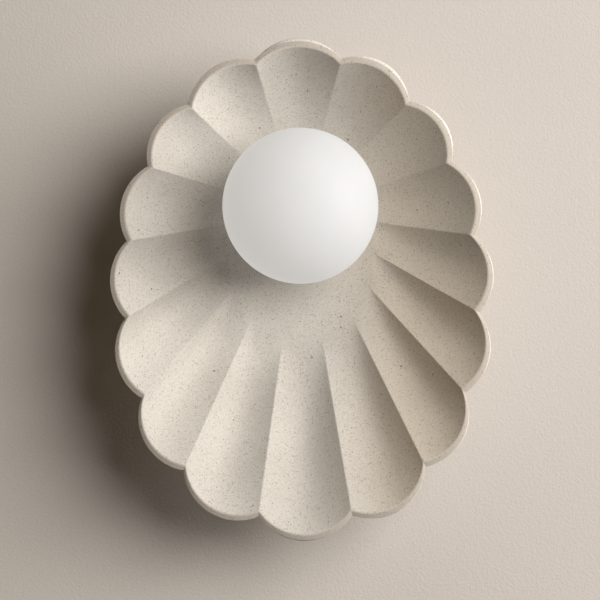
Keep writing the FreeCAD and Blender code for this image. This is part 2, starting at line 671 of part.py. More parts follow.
def make_shell():
    """The outer form with its boss, less the fluted bowl and the hole for the nipple."""
    lobes = shell_lobes()
    floor = value(shell_floor)
    rim = value(shell_rim)
    back_step = value("Dims.wall_back_step")
    # levels stand closer where a surface bends more: at the flutes' start and behind the lip
    bowl_steps = [0.0, 0.08, 0.16, 0.23, 0.3, 0.4, 0.52, 0.64, 0.76, 0.88, 1.0]
    bowl_steps.append(1 + value("Dims.bowl_overrun"))
    wall_levels = [0.0, 0.025, 0.06, 0.12, 0.2, 0.31, 0.44, 0.58, 0.7, 0.8, 0.87, 0.92, 0.955, 0.98, 1.0]
    bowl = Part.makeLoft([bowl_contour(lobes, step) for step in bowl_steps], True, False)
    outside = Part.makeLoft([wall_contour(lobes, level) for level in wall_levels], True, False)
    # the lip rolls in from the outer wall to its flat crest along a quarter of an ellipse
    crest = value("Dims.lip_flat - Dims.lip_width")
    turns = [math.radians(turn) for turn in (0, 30, 60, 90)]
    roll = Part.makeLoft([shell_contour(lobes, 1, crest * (1 - math.cos(turn)),
                                        rim - back_step * (1 - math.sin(turn)))
                          for turn in turns], True, True)
    boss = Part.makeCylinder(value("Dims.boss_radius"), floor - value(shell_back),
                             FreeCAD.Vector(0, 0, value(shell_back)))
    hole = Part.makeCylinder(value("Dims.hub_hole_radius"), rim)
    shape = outside.fuse([roll, boss]).cut([bowl, hole]).removeSplitter()
    shell = doc.addObject("Part::Feature", "shell")
    shell.Label = "shell"
    shell.Shape = shape.Solids[0] if len(shape.Solids) == 1 else shape
    shell.Placement = against_wall


# --- the hub ---

def make_hub_washer():
    body = new_body("hub_washer")
    add_ring(body, "Ring", "Dims.washer_radius", nipple_hole, shell_floor, "Dims.washer_thickness")


def make_fitter():
    """Flange and collar of spun sheet; the collar carries the thread for the globe."""
    body = new_body("fitter")
    add_ring(body, "Flange", "Dims.fitter_radius", nipple_hole, fitter_back, "Dims.fitter_sheet")
    add_ring(body, "Collar", "Dims.collar_radius", collar_bore, fitter_back,
             "Dims.fitter_sheet + Dims.collar_length")
    add_thread(body, "Thread", "Dims.collar_radius - Dims.thread_sink",
               "Dims.collar_radius + Dims.thread_height", f"{fitter_front} + Dims.thread_start")


def make_nipple():
    body = new_body("nipple")
    add_ring(body, "Tube", "Dims.nipple_radius", nipple_bore, nipple_back, f"{nipple_front} - {nipple_back}")


def make_nipple_nuts():
    body = new_body("nipple_nuts")
    for name, out in (("Rear", rear_nut_back), ("Front", front_nut_back)):
        sketch = new_sketch(body, f"{name}NutSketch", offset=out)
        draw_hexagon(sketch, "Dims.nut_flats")
        draw_circle(sketch, nipple_hole)
        add_pad(body, sketch, f"{name}Nut", "Dims.nut_thickness")


def make_lock_washers():
    body = new_body("lock_washers")
    for name, out in (("Rear", rear_washer_back), ("Front", strap_front)):
        add_ring(body, f"{name}Washer", "Dims.lock_washer_radius", nipple_hole, out, "Dims.lock_washer_sheet")


def make_nipple_bushes():
    """Plastic end bushes that keep the wires off the nipple's edges."""
    body = new_body("nipple_bushes")
    sleeve = f"{nipple_bore} - Dims.slip"
    add_ring(body, "RearFlange", "Dims.bush_radius", "Dims.bush_bore", rear_bush_end, "Dims.bush_flange")
    add_ring(body, "RearSleeve", sleeve, "Dims.bush_bore", nipple_back, "Dims.bush_sleeve")
    add_ring(body, "FrontFlange", "Dims.bush_radius", "Dims.bush_bore", nipple_front, "Dims.bush_flange")
    add_ring(body, "FrontSleeve", sleeve, "Dims.bush_bore",
             f"{nipple_front} - Dims.bush_sleeve", "Dims.bush_sleeve")


# --- the lampholder ---

def make_holder_strap():
    """A U-shaped strap, clamped under the front nut, with an arm on each side of the lampholder."""
    body = new_body("holder_strap")
    half = "(Dims.holder_strap_width / 2)"
    base = new_sketch(body, "BaseSketch", offset=fitter_front)
    draw_box(base, f"-{strap_outside}", strap_outside, f"-{half}", half)
    draw_circle(base, nipple_hole)
    add_pad(body, base, "Base", "Dims.holder_sheet")
    arms = new_sketch(body, "ArmSketch", offset=fitter_front)
    for side in ("", "-"):
        draw_box(arms, f"{side}{strap_inside}", f"{side}{strap_outside}", f"-{half}", half)
    reach = f"{holder_back} + 2 * Dims.holder_screw_reach - {fitter_front}"
    add_pad(body, arms, "Arms", reach)
    holes = new_sketch(body, "ArmHoleSketch", role="YZ_Plane", offset=f"-{strap_outside}")
    draw_circle(holes, "Dims.holder_screw_radius + Dims.slip", up=holder_screw_out)
    add_cut(body, holes, "ArmHoles", f"2 * {strap_outside}")


def make_lampholder():
    """Ceramic body with a mouth for the bulb's tongue, two contact pockets and two wire holes."""
    body = new_body("lampholder")
    blank = new_sketch(body, "BlankSketch", offset=holder_back)
    draw_circle(blank, "Dims.holder_radius")
    add_pad(body, blank, "Blank", "Dims.holder_length")
    mouth = new_sketch(body, "MouthSketch", offset=socket_floor)
    half_across = "(Dims.base_across / 2 + Dims.ease)"
    half_up = "(Dims.base_up / 2 + Dims.ease)"
    draw_box(mouth, f"-{half_across}", half_across, f"-{half_up}", half_up)
    add_cut(body, mouth, "Mouth", "Dims.holder_socket_depth")
    pockets = new_sketch(body, "PocketSketch", offset=contact_floor)
    wires = new_sketch(body, "WireHoleSketch", offset=holder_back)
    for side in ("", "-"):
        middle = f"{side}{pin_across_at}"
        across = "(Dims.contact_across / 2 + Dims.slip)"
        up = "(Dims.contact_up / 2 + Dims.slip)"
        draw_box(pockets, f"{middle} - {across}", f"{middle} + {across}", f"-{up}", up)
        draw_circle(wires, "Dims.wire_hole_radius", across=middle)
    add_cut(body, pockets, "ContactPockets", "Dims.contact_depth")
    add_cut(body, wires, "WireHoles", f"{contact_floor} - {holder_back}")
    screw_hole = new_sketch(body, "ScrewHoleSketch", role="YZ_Plane",
                            offset="Dims.holder_radius - Dims.holder_screw_grip - Dims.slip")
    draw_circle(screw_hole, "Dims.holder_screw_radius + Dims.slip", up=holder_screw_out)
    hole = add_cut(body, screw_hole, "ScrewHole", "Dims.holder_radius")
    add_mirror(body, [hole])


def make_holder_contacts():
    """Two springy forks that grip the bulb's pins."""
    body = new_body("holder_contacts")
    forks = new_sketch(body, "ForkSketch", offset=contact_floor)
    gaps = new_sketch(body, "GapSketch", offset=f"{contact_floor} + Dims.ease")
    for side in ("", "-"):
        middle = f"{side}{pin_across_at}"
        across = "Dims.contact_across / 2"
        up = "Dims.contact_up / 2"
        gap = "(Dims.pin_up / 2 + Dims.slip)"
        draw_box(forks, f"{middle} - {across}", f"{middle} + {across}", f"-{up}", up)
        draw_box(gaps, f"{middle} - {across}", f"{middle} + {across}", f"-{gap}", gap)
    add_pad(body, forks, "Forks", "Dims.contact_depth")
    add_cut(body, gaps, "Gaps", "Dims.contact_depth")


def make_holder_screws():
    body = new_body("holder_screws")
    shank = new_sketch(body, "ShankSketch", role="YZ_Plane",
                       offset="Dims.holder_radius - Dims.holder_screw_grip")
    draw_circle(shank, "Dims.holder_screw_radius", up=holder_screw_out)
    shank_pad = add_pad(body, shank, "Shank",
                        f"{strap_outside} - Dims.holder_radius + Dims.holder_screw_grip")
    head = new_sketch(body, "HeadSketch", role="YZ_Plane", offset=strap_outside)
    draw_circle(head, "Dims.holder_screw_head", up=holder_screw_out)
    head_pad = add_pad(body, head, "Head", "Dims.holder_screw_head_height")
    slot = new_sketch(body, "DriverSketch", role="YZ_Plane",
                      offset=f"{strap_outside} + Dims.holder_screw_head_height / 2")
    draw_box(slot, "-Dims.holder_screw_head", "Dims.holder_screw_head",
             f"{holder_screw_out} - Dims.driver_slot / 2", f"{holder_screw_out} + Dims.driver_slot / 2")
    slot_cut = add_cut(body, slot, "DriverSlot", "Dims.holder_screw_head_height")
    add_mirror(body, [shank_pad, head_pad, slot_cut])


# --- mains connection inside the canopy ---

def make_terminal_block():
    """Insulating block with two poles side by side, screwed to the bracket."""
    body = new_body("terminal_block")
    block = new_sketch(body, "BlockSketch", offset="Dims.bracket_plate")
    low = "(Dims.block_rise - Dims.block_up / 2)"
    high = "(Dims.block_rise + Dims.block_up / 2)"
    draw_box(block, "-Dims.block_across / 2", "Dims.block_across / 2", low, high)
    add_pad(body, block, "Block", "Dims.block_thickness")
    ways = new_sketch(body, "WaySketch", role="XZ_Plane", offset=f"-{high}")
    clamps = new_sketch(body, "ClampHoleSketch", offset=pole_out)
    for side in ("", "-"):
        middle = f"{side}{pole_across_at}"
        draw_circle(ways, "Dims.tube_radius + Dims.slip", across=middle, up=pole_out)
        for end in ("-", "+"):
            up = f"Dims.block_rise {end} Dims.clamp_spacing / 2"
            draw_circle(clamps, "Dims.clamp_radius + Dims.slip", across=middle, up=up)
    add_cut(body, ways, "Ways", "Dims.block_up")
    add_cut(body, clamps, "ClampHoles", "Dims.block_thickness")
    fixing = new_sketch(body, "FixingHoleSketch", offset="Dims.bracket_plate")
    draw_circle(fixing, "Dims.fixing_radius + Dims.slip", up="Dims.block_rise")
    add_cut(body, fixing, "FixingHole", "Dims.block_thickness")


def make_terminal_tubes():
    """The two brass tubes, each tapped for its clamp screws."""
    body = new_body("terminal_tubes")
    tubes = new_sketch(body, "TubeSketch", role="XZ_Plane",
                       offset=f"-{tube_bottom} - Dims.tube_length")
    taps = new_sketch(body, "TapSketch", offset=pole_out)
    for side in ("", "-"):
        middle = f"{side}{pole_across_at}"
        draw_circle(tubes, "Dims.tube_radius", across=middle, up=pole_out)
        draw_circle(tubes, "Dims.tube_bore", across=middle, up=pole_out)
        for end in ("-", "+"):
            up = f"Dims.block_rise {end} Dims.clamp_spacing / 2"
            draw_circle(taps, "Dims.clamp_radius + Dims.slip", across=middle, up=up)
    add_pad(body, tubes, "Tubes", "Dims.tube_length")
    add_cut(body, taps, "Taps", "2 * Dims.tube_radius")


def make_terminal_screws():
    """Four clamp screws, run down until they meet a wire of the lamp."""
    body = new_body("terminal_screws")
    tip = f"({pole_out} + Dims.wire_radius + Dims.slip)"
    shanks = new_sketch(body, "ShankSketch", offset=tip)
    slots = new_sketch(body, "DriverSketch", offset=f"{tip} + Dims.clamp_length * 0.8")
    for side in ("", "-"):
        middle = f"{side}{pole_across_at}"
        for end in ("-", "+"):
            up = f"Dims.block_rise {end} Dims.clamp_spacing / 2"
            draw_circle(shanks, "Dims.clamp_radius", across=middle, up=up)
            draw_box(slots, f"{middle} - Dims.clamp_radius", f"{middle} + Dims.clamp_radius",
                     f"{up} - Dims.clamp_radius / 4", f"{up} + Dims.clamp_radius / 4")
    add_pad(body, shanks, "Shanks", "Dims.clamp_length")
    add_cut(body, slots, "DriverSlots", "Dims.clamp_length")


def make_terminal_fixing_screw():
    body = new_body("terminal_fixing_screw")
    shank = new_sketch(body, "ShankSketch", offset="Dims.ease")
    draw_circle(shank, "Dims.fixing_radius", up="Dims.block_rise")
    add_pad(body, shank, "Shank", f"{block_front} - Dims.ease")
    head = new_sketch(body, "HeadSketch", offset=block_front)
    draw_circle(head, "Dims.fixing_head", up="Dims.block_rise")
    add_pad(body, head, "Head", "Dims.fixing_head_height")
    slot = new_sketch(body, "DriverSketch", offset=f"{block_front} + Dims.fixing_head_height / 2")
    draw_box(slot, "-Dims.fixing_head", "Dims.fixing_head",
             "Dims.block_rise - Dims.driver_slot / 2", "Dims.block_rise + Dims.driver_slot / 2")
    add_cut(body, slot, "DriverSlot", "Dims.fixing_head_height")


def make_earth_stud():
    body = new_body("earth_stud")
    sketch = new_sketch(body, "StudSketch", offset="Dims.ease")
    draw_circle(sketch, "Dims.stud_radius", across="Dims.stud_across", up="-Dims.stud_drop")
    add_pad(body, sketch, "Stud", "Dims.stud_reach - Dims.ease")


def make_earth_nut():
    body = new_body("earth_nut")
    sketch = new_sketch(body, "NutSketch", offset="Dims.bracket_plate + Dims.tag_sheet")
    draw_hexagon(sketch, "Dims.earth_nut_flats", "Dims.stud_across", "-Dims.stud_drop")
    draw_circle(sketch, stud_hole, across="Dims.stud_across", up="-Dims.stud_drop")
    add_pad(body, sketch, "Nut", "Dims.earth_nut_thickness")


def earth_direction():
    """Unit vector in the wall's plane, from the lamp axis to the earth stud."""
    return spot("Dims.stud_across", "-Dims.stud_drop", "0").normalize()


def make_barrel(foot, direction):
    """A crimped barrel with a wire's bore, from its foot along a direction."""
    length = value("Dims.barrel_length")
    outer = Part.makeCylinder(value("Dims.barrel_radius"), length, foot, direction)
    inner = Part.makeCylinder(value("Dims.wire_radius + Dims.slip"), length, foot, direction)
    return outer.cut(inner)


def make_earth_tags():
    """A ring terminal on the bracket's stud and a tag under the rear nut, each with a barrel."""
    outward = earth_direction()
    sheet_thickness = value("Dims.tag_sheet")
    wall_way = FreeCAD.Vector(0, 0, -1)
    stud = spot("Dims.stud_across", "-Dims.stud_drop", "Dims.bracket_plate")
    ring = Part.makeCylinder(value("Dims.tag_ring"), sheet_thickness, stud)
    tab_width = 2 * value("Dims.barrel_radius")
    sideways = outward.cross(wall_way)
    barrel_start = stud - outward * (value("Dims.tag_ring") + value("Dims.ease"))
    stud_tab = Part.makeBox(value("Dims.tag_ring") + value("Dims.barrel_length"), tab_width, sheet_thickness)
    turn = FreeCAD.Rotation(FreeCAD.Vector(1, 0, 0), outward * -1)
    stud_tab.Placement = FreeCAD.Placement(stud + sideways * (tab_width / 2), turn)
    if stud_tab.BoundBox.Center.distanceToPoint(stud) > value("2 * Dims.tag_ring + Dims.barrel_length"):
        raise ValueError("the stud's tab lies off its ring")
    lift = FreeCAD.Vector(0, 0, value("Dims.barrel_radius"))
    stud_barrel = make_barrel(barrel_start + lift, outward * -1)
    stud_hole_cut = Part.makeCylinder(value(stud_hole), value(canopy_inside), stud)
    wire_way = Part.makeCylinder(value("Dims.wire_radius + Dims.slip"), value("Dims.barrel_length"),
                                 barrel_start + lift, outward * -1)
    stud_tag = ring.fuse([stud_tab, stud_barrel]).cut([stud_hole_cut, wire_way]).removeSplitter()
    hub = spot("0", "0", tag_back)
    hub_ring = Part.makeCylinder(value("Dims.lock_washer_radius"), sheet_thickness, hub)
    hub_tab = Part.makeBox(value("Dims.hub_tag_reach + Dims.barrel_radius"), tab_width, sheet_thickness)
    turn_out = FreeCAD.Rotation(FreeCAD.Vector(1, 0, 0), outward)
    hub_tab.Placement = FreeCAD.Placement(hub - sideways * (tab_width / 2), turn_out)
    barrel_top = hub + outward * value("Dims.hub_tag_reach")
    hub_barrel = make_barrel(barrel_top, wall_way)
    hub_hole = Part.makeCylinder(value(nipple_hole), value("Dims.canopy_depth"))
    hub_tag = hub_ring.fuse([hub_tab, hub_barrel]).cut(hub_hole).removeSplitter()
    for label, shape in (("earth_stud_tag", stud_tag), ("earth_hub_tag", hub_tag)):
        tag = doc.addObject("Part::Feature", label)
        tag.Label = label
        tag.Shape = shape
        tag.Placement = against_wall


def make_wire(label, points):
    """A wire along straight runs that are joined by tangent arcs.

    Each arc's radius is 0.45 of its shorter run over the tangent of half the turn.
    """
    radius = value("Dims.wire_radius")
    path = []
    start = points[0]
    radii = []
    for before, corner, after in zip(points, points[1:], points[2:]):
        come = (corner - before).normalize()
        go = (after - corner).normalize()
        half_turn = come.getAngle(go) / 2
        trim = 0.45 * min((corner - before).Length, (after - corner).Length)
        bend = trim / math.tan(half_turn)
        radii.append(round(bend, 2))
        inward = (go - come).normalize()
        middle = corner + inward * (bend / math.cos(half_turn) - bend)
        arc_start = corner - come * trim
        arc_end = corner + go * trim
        path.append(Part.LineSegment(start, arc_start).toShape())
        path.append(Part.Arc(arc_start, middle, arc_end).toShape())
        start = arc_end
    path.append(Part.LineSegment(start, points[-1]).toShape())
    route = Part.Wire(path)
    first_way = (points[1] - points[0]).normalize()
    section = Part.Wire(Part.makeCircle(radius, points[0], first_way))
    shape = route.makePipeShell([section], True, False)
    expected = math.pi * radius ** 2 * route.Length
    print(f"{label}: bend radii {radii}, volume over section times length {shape.Volume / expected:.4f}")
    wire = doc.addObject("Part::Feature", label)
    wire.Label = label
    wire.Shape = shape
    wire.Placement = against_wall


def make_lamp_wires():
    """Live and neutral: out of the terminal block, round and through the nipple, to the lampholder."""
    for label, side in (("live_wire", ""), ("neutral_wire", "-")):
        pole = f"{side}{pole_across_at}"
        inner = f"{side}Dims.wire_offset"
        points = [
            spot(pole, "Dims.block_rise - Dims.clamp_spacing / 2 - Dims.clamp_radius", pole_out),
            spot(pole, "Dims.block_rise - Dims.block_up / 2 - 2 * Dims.wire_radius", pole_out),
            spot(f"({pole} + {inner}) / 2", "5 * Dims.wire_radius", f"{pole_out} - Dims.wire_radius"),
            spot(inner, "0", f"{rear_bush_end} - 4 * Dims.wire_radius"),
            spot(inner, "0", f"{front_bush_end} + Dims.wire_radius"),
            spot(f"{side}{pin_across_at}", "0", f"{holder_back} - 2 * Dims.wire_radius"),
            spot(f"{side}{pin_across_at}", "0", f"{contact_floor} - Dims.slip"),
        ]
        make_wire(label, points)


def make_earth_wire():
    """From the ring terminal's barrel, round and out to the tag at the nipple."""
    outward = earth_direction()
    stud = spot("Dims.stud_across", "-Dims.stud_drop", "0")
    level = value("Dims.bracket_plate + Dims.barrel_radius")
    mouth = stud - outward * value("Dims.tag_ring + Dims.ease")
    barrel = value("Dims.barrel_length")
    hub = outward * value("Dims.hub_tag_reach")
    tag_mouth = value(tag_back) - barrel
    out = FreeCAD.Vector(0, 0, 1)
    points = [
        mouth - outward * (barrel * 0.4) + out * level,
        hub + outward * value("2.5 * Dims.wire_radius") + out * level,
        hub + out * (level + value("6 * Dims.wire_radius")),
        hub + out * (tag_mouth + barrel * 0.6),
    ]
    make_wire("earth_wire", points)


# --- the globe and its seal ---

def make_globe_seal():
    """A silicone ring that stays on the end of the globe's neck."""
    body = new_body("globe_seal")
    add_ring(body, "Ring", "Dims.seal_radius", neck_bore, fitter_front, "Dims.seal_thickness")


def make_globe():
    """Opal glass ball on a neck that is threaded inside; its section is two arcs about one centre."""
    body = new_body("globe")
    sketch = new_sketch(body, "GlobeSketch", role="XZ_Plane")
    centre = FreeCAD.Vector(0, value(globe_centre), 0)
    normal = FreeCAD.Vector(0, 0, 1)
    ball_inside = "(Dims.globe_radius - Dims.globe_wall)"
    sides = ((value(neck_bore), value(ball_inside)), (value(neck_radius), value("Dims.globe_radius")))
    joins = []
    arcs = []
    for across, radius in sides:
        start = -math.acos(across / radius)
        joins.append(centre + FreeCAD.Vector(across, radius * math.sin(start), 0))
        arcs.append(Part.ArcOfCircle(Part.Circle(centre, normal, radius), start, math.pi / 2))
    ends = [FreeCAD.Vector(across, value(neck_end), 0) for across, radius in sides]
    poles = [centre + FreeCAD.Vector(0, radius, 0) for across, radius in sides]
    sketch.addGeometry([
        Part.LineSegment(ends[0], ends[1]),
        Part.LineSegment(ends[1], joins[1]),
        arcs[1],
        Part.LineSegment(poles[1], poles[0]),
        arcs[0],
        Part.LineSegment(joins[0], ends[0]),
    ])
    neck_line, outer_side, outer_arc, axis_line, inner_arc, inner_side = range(6)
    for joint in (
        (neck_line, 2, outer_side, 1), (outer_side, 2, outer_arc, 1), (outer_arc, 2, axis_line, 1),
        (axis_line, 2, inner_arc, 2), (inner_arc, 1, inner_side, 1), (inner_side, 2, neck_line, 1),
    ):
        sketch.addConstraint(Sketcher.Constraint("Coincident", *joint))
    fix_point(sketch, neck_line, 1, neck_bore, neck_end)
    fix_point(sketch, neck_line, 2, neck_radius, neck_end)
    for arc, radius in ((outer_arc, "Dims.globe_radius"), (inner_arc, ball_inside)):
        bind(sketch, "Radius", (arc,), radius)
        fix_point(sketch, arc, 3, "0", globe_centre)
        bind(sketch, "DistanceX", (-1, 1, arc, 2), "0")
    sketch.addConstraint(Sketcher.Constraint("Vertical", outer_side))
    sketch.addConstraint(Sketcher.Constraint("Vertical", inner_side))
    ball = add_turning(body, sketch, "Ball")
    add_fillet(body, ball, "Dims.neck_fillet",
               lambda edge: is_ring(edge, neck_radius, f"{neck_end} + Dims.neck_length"))
    add_thread(body, "Thread", f"{neck_bore} + Dims.thread_sink", f"{neck_bore} - Dims.thread_height",
               f"{fitter_front} + Dims.thread_start + Dims.thread_pitch / 2")


# --- the bulb ---

def make_bulb_base():
    body = new_body("bulb_base")
    tongue = new_sketch(body, "TongueSketch", offset=tongue_back)
    draw_box(tongue, "-Dims.base_across / 2", "Dims.base_across / 2", "-Dims.base_up / 2", "Dims.base_up / 2")
    add_pad(body, tongue, "Tongue", f"{collar_back} - {tongue_back}")
    collar = new_sketch(body, "CollarSketch", offset=collar_back)
    draw_circle(collar, "Dims.base_collar_radius")
    add_pad(body, collar, "Collar", "Dims.base_collar_length")


def make_bulb_pins():
    body = new_body("bulb_pins")
    sketch = new_sketch(body, "PinSketch", offset=f"{tongue_back} - Dims.pin_reach")
    for side in ("", "-"):
        middle = f"{side}{pin_across_at}"
        draw_box(sketch, f"{middle} - Dims.pin_across / 2", f"{middle} + Dims.pin_across / 2",
                 "-Dims.pin_up / 2", "Dims.pin_up / 2")
    add_pad(body, sketch, "Pins", "Dims.pin_reach")


def make_bulb_cover():
    body = new_body("bulb_cover")
    add_cup(body, "Dims.base_collar_radius", "Dims.cover_wall", "Dims.cover_corner",
            cover_back, f"{cover_back} + Dims.cover_length")


def make_led_core():
    """A board with a row of small light sources on both sides."""
    body = new_body("led_core")
    board = new_sketch(body, "BoardSketch", offset=cover_back)
    draw_box(board, "-Dims.core_across / 2", "Dims.core_across / 2", "-Dims.core_up / 2", "Dims.core_up / 2")
    add_pad(body, board, "Board", "Dims.core_length")
    count = int((value("Dims.core_length") - value("Dims.chip_size")) / value("Dims.chip_step"))
    chips = new_sketch(body, "ChipSketch", role="XZ_Plane",
                       offset="-Dims.core_up / 2 - Dims.chip_height")
    for row in range(count):
        low = f"({cover_back} + Dims.chip_step * {row + 0.5})"
        for side in ("-", "+"):
            middle = f"({side}Dims.core_across / 4)"
            draw_box(chips, f"{middle} - Dims.chip_size / 2", f"{middle} + Dims.chip_size / 2",
                     low, f"{low} + Dims.chip_size")
    add_pad(body, chips, "Chips", "Dims.core_up + 2 * Dims.chip_height")


make_wall_bracket()
make_cable_grommet()
make_canopy()
make_canopy_screws()
make_canopy_pad()
make_shell()
make_hub_washer()
make_fitter()
make_nipple()
make_nipple_nuts()
make_lock_washers()
make_nipple_bushes()
make_holder_strap()
make_lampholder()
make_holder_contacts()
make_holder_screws()
make_terminal_block()
make_terminal_tubes()
make_terminal_screws()
make_terminal_fixing_screw()
make_earth_stud()
make_earth_nut()
make_earth_tags()
make_lamp_wires()
make_earth_wire()
make_globe_seal()
make_globe()
make_bulb_base()
make_bulb_pins()
make_bulb_cover()
make_led_core()
doc.recompute()

faults = [item.Name for item in doc.Objects if "Invalid" in item.State or "Error" in item.State]
if faults:
    raise ValueError(f"these objects failed: {faults}")

pieces = [item for item in doc.Objects if item.TypeId in ("PartDesign::Body", "Part::Feature")]
for piece in pieces:
    if piece.Shape.isNull() or not piece.Shape.isValid() or not piece.Shape.Solids:
        raise ValueError(f"{piece.Label} has no valid solid")

os.makedirs("parts", exist_ok=True)
for piece in pieces:
    piece.Shape.exportStep(f"parts/{piece.Label}.step")
    print(f"{piece.Label}: {len(piece.Shape.Solids)} solid(s), {piece.Shape.Volume:.1f} mm3")
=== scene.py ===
import math
import bpy
import numpy as np
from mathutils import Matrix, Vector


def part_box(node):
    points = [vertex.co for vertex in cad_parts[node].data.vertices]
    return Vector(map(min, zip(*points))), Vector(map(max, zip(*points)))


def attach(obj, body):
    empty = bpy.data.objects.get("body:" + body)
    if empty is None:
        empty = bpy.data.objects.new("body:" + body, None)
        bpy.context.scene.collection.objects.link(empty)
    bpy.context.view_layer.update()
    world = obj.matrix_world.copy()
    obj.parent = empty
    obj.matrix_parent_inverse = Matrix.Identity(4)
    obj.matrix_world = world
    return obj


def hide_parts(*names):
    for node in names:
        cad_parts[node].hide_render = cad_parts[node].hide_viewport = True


# Shell wall light: stoneware shell, opal glass ball, round canopy on the wall.
# Everything is in metres; the wall is the plane y = 0 and the light stands out towards -Y.

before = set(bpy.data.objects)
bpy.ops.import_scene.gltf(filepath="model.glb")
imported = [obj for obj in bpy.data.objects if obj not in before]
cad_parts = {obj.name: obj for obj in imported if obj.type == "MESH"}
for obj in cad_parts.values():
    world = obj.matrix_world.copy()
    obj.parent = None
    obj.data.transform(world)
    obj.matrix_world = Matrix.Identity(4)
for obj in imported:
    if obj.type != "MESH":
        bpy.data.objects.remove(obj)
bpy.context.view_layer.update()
mm = 0.001
print("frame loaded")

# ---------- camera ----------

photoView = {
    "aimAcross": -0.0012,     # where the middle of the picture lies on the rim's plane
    "aimUp": -0.0604,
    "distance": 1.5,          # from the rim's plane to the camera
    "pictureWidth": 0.3858,   # width that the picture covers at the rim's plane
    "rollDegrees": 0.9,
    "sensorWidth": 36,
}


def addCamera(view):
    # looks along +Y, turned by its roll; focal length = sensor width x distance / picture width
    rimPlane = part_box("shell")[0].y
    data = bpy.data.cameras.new("photoCamera")
    data.sensor_width = view["sensorWidth"]
    data.lens = view["sensorWidth"] * view["distance"] / view["pictureWidth"]
    camera = bpy.data.objects.new("photoCamera", data)
    camera.location = (view["aimAcross"], rimPlane - view["distance"], view["aimUp"])
    camera.rotation_euler = (math.radians(90), math.radians(view["rollDegrees"]), 0)
    bpy.context.scene.collection.objects.link(camera)
    bpy.context.scene.camera = camera


addCamera(photoView)

# ---------- surfaces from numpy grids ----------


def gridQuads(rows, columns, closed):
    # quads between neighbouring rows; the columns wrap round, and so do the rows where closed
    row, column = np.meshgrid(np.arange(rows if closed else rows - 1), np.arange(columns), indexing="ij")
    nextRow = (row + 1) % rows
    nextColumn = (column + 1) % columns
    corners = [row * columns + column, row * columns + nextColumn,
               nextRow * columns + nextColumn, nextRow * columns + column]
    return np.stack(corners, axis=-1).reshape(-1, 4)


def meshFrom(vertices, quads, name, caps=()):
    # Quads and any fans of triangles, all wound the same way round. Their signed volume,
    # the sum of a . (b x c) / 6 over the quads' triangles, says whether they have to be turned.
    a, b, c, d = (vertices[quads[:, k]] for k in range(4))
    volume = (np.einsum("ij,ij->i", a, np.cross(b, c))
              + np.einsum("ij,ij->i", a, np.cross(c, d))).sum()
    faces = [face for group in (quads, *caps)
             for face in (group[:, ::-1] if volume < 0 else group).tolist()]
    mesh = bpy.data.meshes.new(name)
    mesh.from_pydata(vertices.tolist(), [], faces)
    mesh.polygons.foreach_set("use_smooth", np.ones(len(faces), bool))
    mesh.update()
    piece = bpy.data.objects.new(name, mesh)
    bpy.context.scene.collection.objects.link(piece)
    return piece


def addShare(piece, name, shares):
    # one number per vertex, for the piece's own material to read
    attribute = piece.data.attributes.new(name, "FLOAT", "POINT")
    attribute.data.foreach_set("value", np.ascontiguousarray(shares, dtype=np.float32))


def relax(points, weight, passes):
    # Each point moves towards the middle of its four neighbours, by its own weight, a few times over.
    for step in range(passes):
        around = (np.roll(points, 1, 0) + np.roll(points, -1, 0)
                  + np.roll(points, 1, 1) + np.roll(points, -1, 1)) / 4
        points = points + weight[..., None] * (around - points)
    return points


# ---------- the shell ----------

